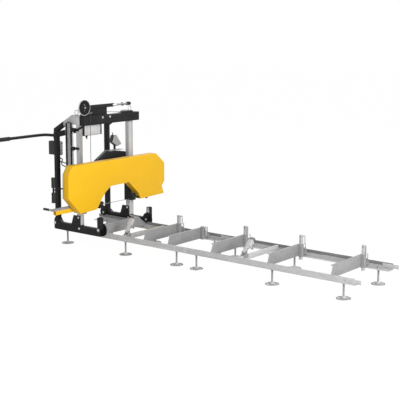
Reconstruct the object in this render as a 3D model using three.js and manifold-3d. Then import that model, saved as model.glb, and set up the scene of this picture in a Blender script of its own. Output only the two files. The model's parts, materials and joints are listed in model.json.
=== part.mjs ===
// Portable band sawmill: a two-module track, a rolling carriage and the saw head that slides on its masts.
// Millimetres, +Z up, X along the track, the saw's near side towards -Y.
import * as THREE from 'three';
import { mergeVertices } from 'three/addons/utils/BufferGeometryUtils.js';
import Module from 'manifold-3d';

const wasm = await Module();
wasm.setup();

// Clearances and counts shared by every piece
const seat = 0.3;
const runningGap = 0.5;
const runningFit = 0.1;
const overrun = 20;
const rodSides = 12;
const thinSides = 8;
const discSides = 20;
const bandSides = 36;
const hexSides = 6;

// Track rails, from two modules laid end to end
const moduleLength = 2000;
const trackWidth = 745;
const railHeight = 64;
const railWall = 5;
const railLedge = 100;
const railTop = 220;
const spliceReach = 115;
const spliceHeight = 40;
const spliceWall = 5;
const spliceTongue = 61;
const spliceBoltAt = 56;
const tongueBoltAt = 95;
const tongueBoltEdge = 25;
const trackBoltRadius = 6;
const trackBoltHead = 9;
const trackBoltHeadHeight = 5;

// Levelling feet: a pressed disc on a threaded rod in a nut under the ledge
const footRadius = 71;
const footRim = 4;
const footShoulderRadius = 30;
const footShoulderHeight = 12;
const footBossRadius = 14;
const footBossHeight = 24;
const legRadius = 10;
const legInset = 45;
const legStandProud = 22;
const nutRadius = 18;
const nutHeight = 16;
const nearFootShares = [-0.913, -0.4545, -0.0865, 0.0485, 0.526, 0.929];
const farFootShares = [-0.913, -0.526, -0.0865, 0.0555, 0.441, 0.9305];

// Bunks: deep channels between the rails, five of them with a sleeve for a log stop
const bunkWidth = 28;
const bunkWall = 5;
const bunkRise = 76;
const bunkEndSlope = 37;
const bunkEndClearance = 3;
const bunkWheelClearance = 2;
const bunkNotchDrop = 14;
const bunkUnderside = 43;
const bunkFarTop = 250;
const bunkFarNotch = 353;
const bunkFootReach = 24;
const bunkShares = [-0.6205, -0.3075, -0.137, 0.155, 0.5065, 0.868];
const sleeveSize = 40;
const sleeveBore = 31;
const sleeveDrop = 48;
const sleeveRise = 84;
const sleeveAcross = 212.5;
const lockScrewRadius = 6;
const lockScrewReach = 65;
const lockScrewHeight = 30;
const lockBarRadius = 4;
const lockBarHalf = 48;

// Log stops: a square bar with a hole at its top and a bent rod down its side
const stopSize = 30;
const stopTop = 178;
const stopLength = 256;
const stopHoleRadius = 8;
const stopHoleDrop = 16;
const shortStopLength = 142;
const stopRodRadius = 7;
const stopRodReaches = [50, 50, 32, 48, 28];
const stopRodDrop = 98;

// Log clamps: a bar across the track, a slider on it and a tilting screw arm
const clampBarShares = [-0.47, 0.3225];
const clampBarWidth = 30;
const clampBarHeight = 50;
const sliderAcross = [-262, -232];
const sliderLength = 70;
const sliderWall = 10;
const earHeight = 34;
const earWall = 8;
const earGap = 34;
const pivotRadius = 7;
const armTubeSize = 32;
const armTubeLength = 170;
const armScrewRadius = 8;
const armScrewReach = 34;
const jawWidth = 62;
const jawDepth = 40;
const jawWall = 8;
const armBarRadius = 5;
const armBarHalf = 78;
const armBarAt = 52;
const armPivotRise = 18;
const armHeadWidth = 54;
const armHeadDepth = 40;
const armHeadLength = 78;
const armTilts = [57, 37];

// Carriage side frames: beam, rear post, braces, mast shoe and front upright on each side
const carriageShare = -0.762;
const sideOffset = 35;
const tube = 50;
const tubeWall = 3;
const beamRear = -411;
const beamTop = 40;
const beamDrop = 45;
const beamNose = 22;
const postAt = -366;
const postTop = 1090;
const braceRear = 1040;
const braceCrown = 1120;
const braceMeets = -230;
const braceMeetTop = 1213;
const braceMeetBottom = 1158;
const gussetReach = 56;
const gussetRise = 38;
const tieRearBottom = 1024;
const tieRearTop = 1092;
const tieFrontBottom = 1098;
const tieFrontTop = 1152;
const uprightAt = 308;
const uprightTop = 168;
const knobRadius = 11;
const knobLength = 18;
const knobHeight = 118;
const shoeRear = -125;
const shoeShoulder = -83;
const shoeFront = 22;
const shoeTop = 155;
const shoeWall = 6;
const shoeBase = 8;
const shoeBoltLow = 8;
const shoeBoltHigh = 134;
const boltRadius = 12;
const boltHeight = 7;

// Carriage wheels: grooved wheels on the top edge of each rail
const axlesAt = [-392, 306];
const axleHeight = 28;
const wheelWidth = 24;
const wheelFlange = 40;
const wheelGuard = 76;
const wheelGrooveClearance = 1;
const wheelGrooveDepth = 12;
const wheelBore = 10;
const axleHead = 14;
const axleHeadLength = 7;

// Masts
const nearMast = 50;
const farMastDepth = 60;
const farMastWidth = 70;
const mastWall = 4;
const capRear = -229.7;
const capRearBottom = 1160;
const capRearTop = 1213;
const capKnee = -92;
const capKneeTop = 1293;
const capTop = 1297;
const capBottom = 1186;
const capBottomRear = -60;
const capFront = 30;
const nearEyeAt = -40;
const eyeRadius = 30;
const eyeThickness = 4;

// Crossbeam: a square tube on the masts' front faces, with the hanger for the tank behind it
const crossDepth = 72;
const crossHeight = 99;
const crossFarReach = 30;
const crossBottom = 1180;
const crossWall = 4;
const faceBoltsAt = [-142, -23];
const faceBoltDrop = 24;
const farEyeAcross = 349;
const farEyePlateWidth = 46;
const farEyePlateNear = 219;
const farEyePlateFar = 382;
const farEyePlateWall = 18;
const farCableHeight = 1307;
const hangerWall = 4;

// Water tank in its hanger behind the crossbeam
const tankRear = -71;
const tankFront = 29;
const tankNear = -372;
const tankFar = -85;
const tankHeight = 115;
const tankTaper = 8;
const tapInset = 30;
const tapAcross = 75;
const trayRim = 10;
const tapSize = 16;
const tapDrop = 22;
const tapLeverRadius = 7;
const tapLeverLength = 30;
const tapLeverWidth = 6;

// Winch: frame plate, cable wheel, lift lever and pawl
const winchPlateBack = 44;
const winchPlateWall = 6;
const winchPlateNear = -446;
const winchPlateFar = -13;
const winchPlateRise = 16;
const winchStepDrop = 44;
const winchFlange = 34;
const winchWheelAt = 110;
const winchWheelWidth = 12;
const winchWheelRadius = 88;
const winchAcross = -432.5;
const winchRise = 105;
const winchShaft = 11;
const winchGroove = 4;
const hubRadius = 24;
const leverBack = 76;
const leverThick = 18;
const leverHeight = 40;
const leverTubeEnd = 54;
const leverRodRadius = 12;
const leverRodEnd = 275;
const leverCollarAt = 214;
const leverCollarRadius = 22;
const leverCollarLength = 12;
const leverGripRadius = 20;
const leverGripEnd = 332;
const pawlBack = 54;
const pawlThick = 8;
const pawlAcross = -320;
const pawlRise = 33;
const pawlPivot = 6;
const pawlBoss = 11;
const pawlLength = 62;
const pawlWidth = 11;
const farCableRadius = 3;

// Lift cable from the winch wheel to the saw head
const cableRadius = 3;
const cableLugTop = 620;

// Push handle on the near rear post
const handleDrop = 54;
const handleRadius = 17;
const handleBack = -560;
const handleBend = 90;
const handleEnd = -1090;
const handleGripRadius = 23;
const handleGripLength = 150;
const handlePlate = 70;
const handlePlateWall = 6;
const handleGripEnd = 6;

// Control box with its two leads
const controlRear = -536;
const controlFront = -362;
const controlDepth = 60;
const controlBottom = 806;
const controlTop = 963;
const leadRadius = 6;
const leadPoints = [
  [
    [-420, -352, 812],
    [-412, -352, 762],
    [-380, -356, 738],
    [-330, -380, 735],
    [-262, -430, 712],
    [-168, -458, 700],
  ],
  [
    [-392, -352, 812],
    [-386, -352, 782],
    [-362, -352, 768],
    [-318, -372, 762],
    [-262, -430, 748],
    [-168, -458, 742],
  ],
];

// Height scale: an open channel clamped beside the near mast
const scaleRear = -157;
const scaleFront = -79;
const stripGap = 11;
const stripWidth = 17;
const stripWall = 6;
const stripTop = 1180;
const scaleDepth = 30;
const scaleWall = 4;
const scaleStandOff = 10;
const scaleBottom = 400;
const scaleTop = 1205;
const scaleBracketsAt = [920, 1130];
const scaleBracketHeight = 26;
const scaleBracketEnd = 22;
const scaleStayEnd = 92;
const scaleStayRise = 42;
const scaleStayHeight = 24;
const scaleBlock = 44;
const scalePinRadius = 5;
const scalePinLength = 12;

// Saw head frame
const headBack = 35;
const headDepth = 78;
const headWall = 5;
const wheelCentre = 516;
const headHeight = 80;
const headNear = -480;
const headFar = 600;
const slideBottom = 430;
const slideTop = 620;
const slideWall = 8;
const backPlateWall = 3;
const deckRear = -330;
const deckNear = -210;
const deckWall = 10;
const farGuideNear = 225;
const farGuideFar = 296;
const guideDepth = 40;
const guideBack = 84;
const guideBottom = 262;
const guideTop = 336;
const guideReach = 203;
const guideSlot = 2;
const guideBridge = 14;
const lugReach = 15;
const yokeReach = 170;
const yokeWall = 6;
const yokePlate = 9;
const yokeInset = 10;

// Band wheels, blade and cover
const bandWheelRadius = 235;
const bandWheelWidth = 28;
const bandWheelNear = -552;
const bandWheelSpacing = 1091;
const bladePlane = 179;
const bladeWidth = 33;
const bladeThickness = 1.1;
const rimDepth = 22;
const webThickness = 10;
const hubOuter = 36;
const hubWidth = 44;
const stubRadius = 15;
const stubFront = 206;
const coverBack = 134;
const coverDepth = 90;
const coverWall = 3;
const coverFarLip = [357, 265];
const coverNearLip = [-350, 271];
const coverNearFoot = [-628, 235];
const coverOutline = [
  [-736, 776], [630, 776], [782, 647], [782, 430], [735, 368], [772, 276], coverFarLip, [323, 337],
  [157, 487], [-142, 481], [-247, 408], coverNearLip, [-369, 246], coverNearFoot, [-802, 422], [-797, 682],
];
const bladeNotchLow = 268;
const bladeNotchHigh = 296;
const bladeNotchDepth = 74;
const clipsAt = [-541, 475];
const clipSize = 26;
const clipDrop = 12;

// Adjustable blade guide arm with its handle
const armSleeveNear = -470;
const armSleeveFar = -322;
const armSleeveWall = 5;
const armNear = -900;
const armBottom = 247;
const armHeight = 46;
const armWall = 3;
const armPlate = 22;
const armPlateNear = -938;
const nearGuideNear = -312;
const nearGuideFar = -243;
const nearGuideBottom = 245;
const armHandleRadius = 8;
const armFerruleRadius = 10;
const armFerruleLength = 14;
const armGripRadius = 13;
const armHandleStart = 26;
const armGripLength = 92;

// Blade tension block and its T-handle screw
const blockClearance = 1;
const blockNear = -622;
const blockFar = -400;
const screwRadius = 8;
const screwHoleDepth = 48;
const screwEnd = -882;
const screwTip = -584;
const tBarRadius = 11;
const tBarHalf = 139;
const tGripRadius = 22;
const tGripLength = 112;

// Drive engine on the deck behind the far band wheel
const engineRear = -300;
const engineFront = -84;
const engineOutline = [[64, 0], [64, 50], [76, 62], [358, 62], [370, 50], [370, 0]];
const blockRear = -215;
const blockFront = -60;
const blockOutline = [[205, 50], [205, 190], [225, 212], [352, 206], [366, 192], [366, 50]];
const shroudRear = -112;
const shroudFront = -22;
const shroudOutline = [[-74, 50], [-74, 155], [94, 253], [110, 254], [358, 229], [369, 218], [369, 50]];
const throttleAt = -67;
const throttleRadius = 3;
const throttlePoints = [[118, 815], [92, 844], [-66, 752], [-64, 720]];
const engineStand = 12;
const pulleyRadius = 70;
const pulleyWidth = 34;
const pulleyAcross = 250;
const pulleyHeight = 90;
const cowlRear = -152;
const cowlFront = -96;
const cowlOutline = [[253, 1000], [292, 1001], [376, 888], [308, 866], [221, 922]];
const cowlStubRadius = 14;
const cowlStubAcross = 286;
const cowlStubBottom = 770;
const cowlStubTop = 900;
const cowlStickRadius = 5;
const cowlStickAcross = 254;
const cowlStickTop = 1032;

// Derived places
const halfTrack = trackWidth / 2;
const ledgeBottom = railTop - railHeight;
const ledgeTop = ledgeBottom + railWall;
const sideLine = halfTrack + sideOffset;
const webLine = halfTrack - railWall / 2;
const headFront = headBack + headDepth;
const beamFront = uprightAt + tube / 2;
const crossRear = capFront + seat;
const crossFront = crossRear + crossDepth;
const crossTop = crossBottom + crossHeight;
const winchHeight = crossTop + winchRise;
const pawlHeight = crossTop + pawlRise;
const handleHeight = postTop - handleDrop;
const tankBottom = crossBottom - hangerWall - seat - tankHeight;
const headBottom = wheelCentre - headHeight / 2;
const headTop = wheelCentre + headHeight / 2;
const bandWheelFar = bandWheelNear + bandWheelSpacing;
const bladeLoop = holeFor(bandWheelRadius, bandSides);
const bladeBottom = wheelCentre - bladeLoop;
const deckTop = headTop + deckWall;
const armTop = armBottom + armHeight;

// Radius of a faceted hole whose flats clear a round shaft
function holeFor(radius, sides = rodSides) {
  return (radius + runningFit) / Math.cos(Math.PI / sides);
}

// Closed solid of a geometry, with its shared corners merged
function solid(geometry) {
  const bare = geometry.clone();
  bare.deleteAttribute('normal');
  bare.deleteAttribute('uv');
  const merged = mergeVertices(bare);
  const index = merged.index.array;
  const corners = [];
  for (let i = 0; i < index.length; i += 3) {
    const [a, b, c] = [index[i], index[i + 1], index[i + 2]];
    if (a !== b && b !== c && c !== a) corners.push(a, b, c);
  }
  const vertProperties = new Float32Array(merged.attributes.position.array);
  const mesh = new wasm.Mesh({ numProp: 3, vertProperties, triVerts: new Uint32Array(corners) });
  return new wasm.Manifold(mesh);
}

function join(first, ...rest) {
  return rest.reduce((sum, piece) => sum.add(piece), first);
}

function cut(first, ...rest) {
  return rest.reduce((sum, piece) => sum.subtract(piece), first);
}

function block(x0, x1, y0, y1, z0, z1) {
  const box = new THREE.BoxGeometry(x1 - x0, y1 - y0, z1 - z0);
  box.translate((x0 + x1) / 2, (y0 + y1) / 2, (z0 + z1) / 2);
  return solid(box);
}

// Round bar between two points
function rod(from, to, radius, sides = rodSides) {
  const a = new THREE.Vector3(...from);
  const b = new THREE.Vector3(...to);
  const bar = new THREE.CylinderGeometry(radius, radius, a.distanceTo(b), sides);
  const turn = new THREE.Quaternion().setFromUnitVectors(
    new THREE.Vector3(0, 1, 0),
    b.clone().sub(a).normalize(),
  );
  bar.applyQuaternion(turn);
  const middle = a.clone().add(b).multiplyScalar(0.5);
  bar.translate(middle.x, middle.y, middle.z);
  return solid(bar);
}

// Bars end to end through a list of points, with a ball at each corner
function bentRod(points, radius, sides = rodSides) {
  const runs = points.slice(1).map((point, i) => rod(points[i], point, radius, sides));
  const balls = points.slice(1, -1).map((point) => {
    const ball = new THREE.SphereGeometry(radius, sides, sides / 2);
    ball.translate(...point);
    return solid(ball);
  });
  return join(...runs, ...balls);
}

// Tube swept along a smooth curve through a list of points
function sweptBar(points, radius, steps, sides = rodSides) {
  const curve = new THREE.CatmullRomCurve3(points.map((p) => new THREE.Vector3(...p)));
  const section = new THREE.Shape();
  for (let i = 0; i < sides; i += 1) {
    const turn = (2 * Math.PI * i) / sides;
    const x = radius * Math.cos(turn);
    const y = radius * Math.sin(turn);
    if (i === 0) section.moveTo(x, y);
    else section.lineTo(x, y);
  }
  return solid(new THREE.ExtrudeGeometry(section, { steps, extrudePath: curve, curveSegments: 1 }));
}

function extruded(points, depth) {
  const shape = new THREE.Shape(points.map(([a, b]) => new THREE.Vector2(a, b)));
  return new THREE.ExtrudeGeometry(shape, { depth, bevelEnabled: false, curveSegments: 1 });
}

// Outline of (y, z) points carried from x0 to x1
function alongX(points, x0, x1) {
  const body = extruded(points, x1 - x0);
  body.applyMatrix4(new THREE.Matrix4().set(0, 0, 1, x0, 1, 0, 0, 0, 0, 1, 0, 0, 0, 0, 0, 1));
  return solid(body);
}

// Outline of (x, z) points carried from y0 to y1
function alongY(points, y0, y1) {
  const body = extruded(points.map(([x, z]) => [z, x]), y1 - y0);
  body.applyMatrix4(new THREE.Matrix4().set(0, 1, 0, 0, 0, 0, 1, y0, 1, 0, 0, 0, 0, 0, 0, 1));
  return solid(body);
}

// Turned solid: a profile of (radius, place) points about an axis through (a, b)
function turned(profile, axis, a, b, sides = discSides) {
  const body = new THREE.LatheGeometry(profile.map(([r, h]) => new THREE.Vector2(r, h)), sides);
  if (axis === 'x') {
    body.rotateZ(-Math.PI / 2);
    body.translate(0, a, b);
  } else if (axis === 'z') {
    body.rotateX(Math.PI / 2);
    body.translate(a, b, 0);
  } else {
    body.translate(a, 0, b);
  }
  return solid(body);
}

// Outline moved inwards by a wall, for an outline that runs clockwise
function inset(points, wall) {
  const count = points.length;
  return points.map((point, i) => {
    const before = points[(i + count - 1) % count];
    const after = points[(i + 1) % count];
    const first = new THREE.Vector2(point[0] - before[0], point[1] - before[1]).normalize();
    const second = new THREE.Vector2(after[0] - point[0], after[1] - point[1]).normalize();
    const inwards = new THREE.Vector2(first.y + second.y, -first.x - second.x).normalize();
    const stretch = wall / (inwards.x * first.y - inwards.y * first.x);
    return [point[0] + inwards.x * stretch, point[1] + inwards.y * stretch];
  });
}

// Rectangular tube with open ends, along one axis
function hollow(x0, x1, y0, y1, z0, z1, wall, axis) {
  const outer = block(x0, x1, y0, y1, z0, z1);
  const [dx, dy, dz] = ['x', 'y', 'z'].map((name) => (name === axis ? -overrun : wall));
  return cut(outer, block(x0 + dx, x1 - dx, y0 + dy, y1 - dy, z0 + dz, z1 - dz));
}

function bolt(from, to, radius = boltRadius) {
  return rod(from, to, radius, hexSides);
}

const finishes = {
  galvanised: [0xb4b7b9, 0.5, 0.6],
  black: [0x17181a, 0.5, 0.2],
  silver: [0xc4c6c7, 0.4, 0.6],
  mast: [0xa9acad, 0.5, 0.4],
  yellow: [0xf5b91c, 0.42, 0.1],
  chrome: [0xd9dcdd, 0.15, 0.95],
  rubber: [0x121212, 0.8, 0],
  plastic: [0xd6dad9, 0.4, 0],
  steel: [0x8b8e90, 0.35, 0.9],
  greyBox: [0x6d7072, 0.5, 0.1],
};

const sawmill = new THREE.Group();
const carriage = new THREE.Group();
carriage.position.set(moduleLength * carriageShare, 0, railTop);
sawmill.add(carriage);

function place(name, body, finish, group = sawmill) {
  const { vertProperties, triVerts } = body.getMesh();
  const geometry = new THREE.BufferGeometry();
  geometry.setAttribute('position', new THREE.BufferAttribute(new Float32Array(vertProperties), 3));
  geometry.setIndex(new THREE.BufferAttribute(new Uint32Array(triVerts), 1));
  const [color, roughness, metalness] = finishes[finish];
  const mesh = new THREE.Mesh(geometry, new THREE.MeshStandardMaterial({ color, roughness, metalness }));
  mesh.name = name;
  group.add(mesh);
}

// Places along the track, from shares of a module's length
function alongTrack(shares) {
  return shares.map((share) => share * moduleLength);
}

// A span given outwards from the middle, turned to the near (-1) or far (+1) side
function across(side, inner, outer) {
  return side < 0 ? [-outer, -inner] : [inner, outer];
}

// Track rail: an angle with its web outside and its ledge turned in
function rail(side, x0, x1, feet) {
  const [w0, w1] = across(side, halfTrack - railWall, halfTrack);
  const [l0, l1] = across(side, halfTrack - railLedge, halfTrack);
  const web = block(x0, x1, w0, w1, ledgeBottom, railTop);
  const ledge = block(x0, x1, l0, l1, ledgeBottom, ledgeTop);
  const legLine = side * (halfTrack - legInset);
  const here = feet.filter((x) => x > x0 && x < x1);
  const nuts = here.map((x) => rod(
    [x, legLine, ledgeBottom - nutHeight],
    [x, legLine, ledgeBottom + railWall / 2],
    nutRadius,
    hexSides,
  ));
  const holes = here.map((x) => rod(
    [x, legLine, ledgeBottom - nutHeight - overrun],
    [x, legLine, railTop],
    legRadius + runningGap,
  ));
  return cut(join(web, ledge, ...nuts), ...holes);
}

// Splice plate inside the web, with its bolts through the web
function splice(side, x0, x1, boltsAt) {
  const inner = halfTrack - railWall - seat;
  const [y0, y1] = across(side, inner - spliceWall, inner);
  const middle = (ledgeTop + railTop) / 2;
  const plate = block(x0, x1, y0, y1, middle - spliceHeight / 2, middle + spliceHeight / 2);
  const bolts = boltsAt.flatMap((x) => [
    rod([x, side * (inner - spliceWall), middle], [x, side * (halfTrack + seat), middle], trackBoltRadius),
    bolt(
      [x, side * (halfTrack + seat), middle],
      [x, side * (halfTrack + seat + trackBoltHeadHeight), middle],
      trackBoltHead,
    ),
  ]);
  return join(plate, ...bolts);
}

function trackRails() {
  for (const [label, side, shares] of [['near', -1, nearFootShares], ['far', 1, farFootShares]]) {
    const feet = alongTrack(shares);
    const middle = (ledgeTop + railTop) / 2;
    const hole = rod(
      [-spliceBoltAt, side * (halfTrack - railWall - overrun), middle],
      [-spliceBoltAt, side * (halfTrack + overrun), middle],
      trackBoltRadius + runningGap,
    );
    place(`${label}_rail_rear`, cut(rail(side, -moduleLength, -seat / 2, feet), hole), 'galvanised');
    const joint = splice(side, -spliceReach, spliceReach, [-spliceBoltAt, spliceBoltAt]);
    const tongue = splice(
      side,
      moduleLength - spliceReach,
      moduleLength + spliceTongue,
      [moduleLength - tongueBoltAt, moduleLength - tongueBoltEdge],
    );
    place(`${label}_rail_front`, join(rail(side, seat / 2, moduleLength, feet), joint, tongue), 'galvanised');
  }
}

function feet() {
  const profile = [
    [0, 0],
    [footRadius, 0],
    [footRadius, footRim],
    [footShoulderRadius, footShoulderHeight],
    [footBossRadius, footBossHeight],
    [legRadius, footBossHeight],
    [legRadius, ledgeTop + legStandProud],
    [0, ledgeTop + legStandProud],
  ];
  for (const [label, side, shares] of [['near', -1, nearFootShares], ['far', 1, farFootShares]]) {
    alongTrack(shares).forEach((x, i) => {
      const foot = turned(profile, 'z', x, side * (halfTrack - legInset));
      place(`foot_${label}_${i + 1}`, foot, 'galvanised');
    });
  }
}

function bunkBody(x) {
  const end = halfTrack - railWall - bunkEndClearance;
  const nearEnd = webLine - wheelWidth / 2 - bunkWheelClearance;
  const top = railTop + bunkRise;
  const floor = ledgeTop + seat;
  const notch = railTop - bunkNotchDrop;
  const underside = railTop - bunkUnderside;
  const outline = [
    [-nearEnd, floor],
    [-nearEnd, notch],
    [-nearEnd + bunkEndSlope, top],
    [bunkFarTop, top],
    [bunkFarNotch, notch],
    [end, notch],
    [end, floor],
    [end - bunkFootReach, floor],
    [end - bunkFootReach, underside],
    [-nearEnd + bunkFootReach, underside],
    [-nearEnd + bunkFootReach, floor],
  ];
  const channel = alongX(outline, x - bunkWidth, x);
  const pocket = block(
    x - bunkWidth - overrun,
    x - bunkWall,
    -end - overrun,
    end + overrun,
    underside + bunkWall,
    top - bunkWall,
  );
  return cut(channel, pocket);
}

// Square sleeve on a bunk's face, with the locking screw and its cross bar behind it
function stopSleeve(x) {
  const y0 = sleeveAcross - sleeveSize / 2;
  const y1 = sleeveAcross + sleeveSize / 2;
  const middle = x + sleeveSize / 2;
  const z = railTop + lockScrewHeight;
  const screwFar = y1 + lockScrewReach;
  const body = block(x - bunkWall / 2, x + sleeveSize, y0, y1, railTop - sleeveDrop, railTop + sleeveRise);
  return join(
    body,
    rod([middle, y1 - bunkWall, z], [middle, screwFar, z], lockScrewRadius),
    rod([middle, screwFar, z - lockBarHalf], [middle, screwFar, z + lockBarHalf], lockBarRadius, thinSides),
  );
}

function bunks() {
  alongTrack(bunkShares).forEach((x, i) => {
    const middle = x + sleeveSize / 2;
    const bore = block(
      middle - sleeveBore / 2,
      middle + sleeveBore / 2,
      sleeveAcross - sleeveBore / 2,
      sleeveAcross + sleeveBore / 2,
      ledgeBottom - overrun,
      railTop + sleeveRise + overrun,
    );
    const body = i === 0 ? bunkBody(x) : cut(join(bunkBody(x), stopSleeve(x)), bore);
    place(`bunk_${i + 1}`, body, 'galvanised');
  });
}

function logStops() {
  alongTrack(bunkShares).slice(1).forEach((x, i) => {
    const middle = x + sleeveSize / 2;
    const top = railTop + (i === 1 ? sleeveRise + seat + 2 * stopRodRadius : stopTop);
    const half = stopSize / 2;
    const foot = top - (i === 1 ? shortStopLength : stopLength);
    const reach = stopRodReaches[i];
    const bar = block(middle - half, middle + half, sleeveAcross - half, sleeveAcross + half, foot, top);
    const holeAt = top - stopHoleDrop;
    const hole = rod(
      [middle, sleeveAcross - stopSize, holeAt],
      [middle, sleeveAcross + stopSize, holeAt],
      stopHoleRadius,
    );
    const hook = bentRod(
      [
        [middle, sleeveAcross, top - stopRodRadius],
        [middle + reach, sleeveAcross, top - stopRodRadius],
        [middle + reach, sleeveAcross, top - stopRodDrop],
      ],
      stopRodRadius,
      thinSides,
    );
    place(`log_stop_${i + 2}`, join(cut(bar, hole), hook), 'galvanised');
  });
}

function logClamps() {
  const end = webLine - wheelWidth / 2 - bunkWheelClearance;
  const floor = ledgeTop + seat;
  const barTop = floor + clampBarHeight;
  alongTrack(clampBarShares).forEach((x, i) => {
    const half = clampBarWidth / 2;
    place(`clamp_bar_${i + 1}`, block(x - half, x + half, -end, end, floor, barTop), 'silver');
    const y = sliderAcross[i];
    const y0 = y - sliderLength / 2;
    const y1 = y + sliderLength / 2;
    const inner = half + runningGap;
    const outer = inner + sliderWall;
    const saddleBottom = floor + clampBarHeight / 2;
    const saddleTop = barTop + runningGap + sliderWall;
    const pivotZ = saddleTop + armPivotRise;
    const ears = [-1, 1].map((side) => {
      const inside = x + (side * earGap) / 2 + side * runningGap;
      const [a, b] = side < 0 ? [inside - earWall, inside] : [inside, inside + earWall];
      return block(
        a,
        b,
        y - armTubeSize / 2,
        y + armTubeSize / 2,
        saddleTop - sliderWall,
        saddleTop + earHeight,
      );
    });
    const pin = rod(
      [x - earGap / 2 - earWall, y, pivotZ],
      [x + earGap / 2 + earWall, y, pivotZ],
      pivotRadius,
    );
    const saddle = cut(
      block(x - outer, x + outer, y0, y1, saddleBottom, saddleTop),
      block(x - inner, x + inner, y0 - overrun, y1 + overrun, saddleBottom - overrun, barTop + runningGap),
    );
    place(`clamp_slider_${i + 1}`, join(saddle, ...ears, pin), 'galvanised');
    place(`clamp_arm_${i + 1}`, clampArm(x, y, pivotZ, armTilts[i]), 'galvanised');
  });
}

// Tilting arm with its screw, jaw and cross bar, built upright and then tilted from the level
function clampArm(x, y, z, tilt) {
  const half = armTubeSize / 2;
  const start = -pivotRadius * 2;
  const tubeEnd = start + armTubeLength;
  const jawAt = tubeEnd + armScrewReach;
  const body = cut(
    join(
      block(-half, half, start, tubeEnd, -half / 2, half + half / 2),
      block(
        -armHeadWidth / 2,
        armHeadWidth / 2,
        tubeEnd - armHeadLength,
        tubeEnd,
        half / 2 - armHeadDepth / 2,
        half / 2 + armHeadDepth / 2,
      ),
      rod([0, tubeEnd - overrun, half / 2], [0, jawAt, half / 2], armScrewRadius),
      block(
        -jawWidth / 2,
        jawWidth / 2,
        jawAt - jawWall,
        jawAt,
        half / 2 - jawDepth / 2,
        half / 2 + jawDepth / 2,
      ),
      rod([-armBarHalf, armBarAt, half], [armBarHalf, armBarAt, half], armBarRadius, thinSides),
    ),
    rod([-armTubeSize, 0, 0], [armTubeSize, 0, 0], holeFor(pivotRadius)),
  );
  return body.rotate([tilt, 0, 0]).translate([x, y, z]);
}

// Brace, post and tie outlines share the post's faces
function sideFrame(side) {
  const half = tube / 2;
  const [y0, y1] = [side * sideLine - half, side * sideLine + half];
  const postRear = postAt - half;
  const postFront = postAt + half;
  const mastRear = side < 0 ? -nearMast / 2 : -farMastDepth / 2;
  const beam = cut(
    alongY(
      [
        [beamRear, -beamDrop + beamNose],
        [beamRear, beamTop],
        [beamFront, beamTop],
        [beamFront, -beamDrop + beamNose],
        [beamFront - beamNose, -beamDrop],
        [beamRear + beamNose, -beamDrop],
      ],
      y0,
      y1,
    ),
    block(
      beamRear - overrun,
      beamFront + overrun,
      y0 + tubeWall,
      y1 - tubeWall,
      -beamDrop + tubeWall,
      beamTop - tubeWall,
    ),
  );
  const post = block(postRear, postFront, y0, y1, beamTop - tubeWall, postTop);
  const brace = alongY(
    [
      [postRear, braceRear],
      [postRear, braceCrown],
      [braceMeets, braceMeetTop],
      [braceMeets, braceMeetBottom],
      [postFront, postTop],
      [postFront, braceRear],
    ],
    y0,
    y1,
  );
  const tie = alongY(
    [
      [postFront - tubeWall, tieRearBottom],
      [postFront - tubeWall, tieRearTop],
      [mastRear - seat, tieFrontTop],
      [mastRear - seat, tieFrontBottom],
    ],
    y0 + tubeWall * 2,
    y1 - tubeWall * 2,
  );
  const gusset = alongY(
    [
      [postFront - tubeWall, beamTop - tubeWall],
      [postFront - tubeWall, beamTop + gussetRise],
      [postFront + gussetReach, beamTop - tubeWall],
    ],
    y0 + tubeWall,
    y1 - tubeWall,
  );
  const upright = hollow(
    uprightAt - half,
    uprightAt + half,
    y0,
    y1,
    beamTop - tubeWall,
    uprightTop,
    tubeWall,
    'z',
  );
  const inner = side * (sideLine - half);
  const knob = rod(
    [uprightAt, inner + side * tubeWall / 2, knobHeight],
    [uprightAt, inner - side * knobLength, knobHeight],
    knobRadius,
  );
  const ties = side < 0 ? [tie] : [];
  return join(beam, post, gusset, brace, ...ties, upright, knob, mastShoe(side), ...axles(side));
}

// Shoe: a base plate and two cheeks that hold the mast's foot
function mastShoe(side) {
  const width = side < 0 ? nearMast : farMastWidth;
  const reach = width / 2 + seat + shoeWall;
  const cheekOutline = [
    [shoeRear, beamTop],
    [shoeShoulder, shoeTop],
    [shoeFront, shoeTop],
    [shoeFront, beamTop],
  ];
  const cheeks = [-1, 1].map((way) => {
    const inside = side * sideLine + way * (width / 2 + seat);
    const outside = side * sideLine + way * reach;
    return alongY(cheekOutline, Math.min(inside, outside), Math.max(inside, outside));
  });
  const base = block(
    shoeRear,
    shoeFront,
    side * sideLine - reach,
    side * sideLine + reach,
    beamTop - tubeWall,
    beamTop + shoeBase,
  );
  const face = side * sideLine - (width / 2 + seat + shoeWall);
  const lowFace = side * sideLine - tube / 2;
  return join(
    base,
    ...cheeks,
    bolt([0, face + shoeWall / 2, shoeBoltHigh], [0, face - boltHeight, shoeBoltHigh]),
    bolt([0, lowFace + tubeWall / 2, shoeBoltLow], [0, lowFace - boltHeight, shoeBoltLow]),
  );
}

function axles(side) {
  const wheelInner = webLine - wheelWidth / 2;
  const inside = wheelInner - seat;
  const outer = sideLine + tube / 2;
  return axlesAt.flatMap((x) => [
    rod([x, side * outer, axleHeight], [x, side * inside, axleHeight], wheelBore),
    bolt([x, side * inside, axleHeight], [x, side * (inside - axleHeadLength), axleHeight], axleHead),
    bolt([x, side * (outer - tubeWall), axleHeight], [x, side * (outer + boltHeight), axleHeight], axleHead),
  ]);
}

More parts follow.
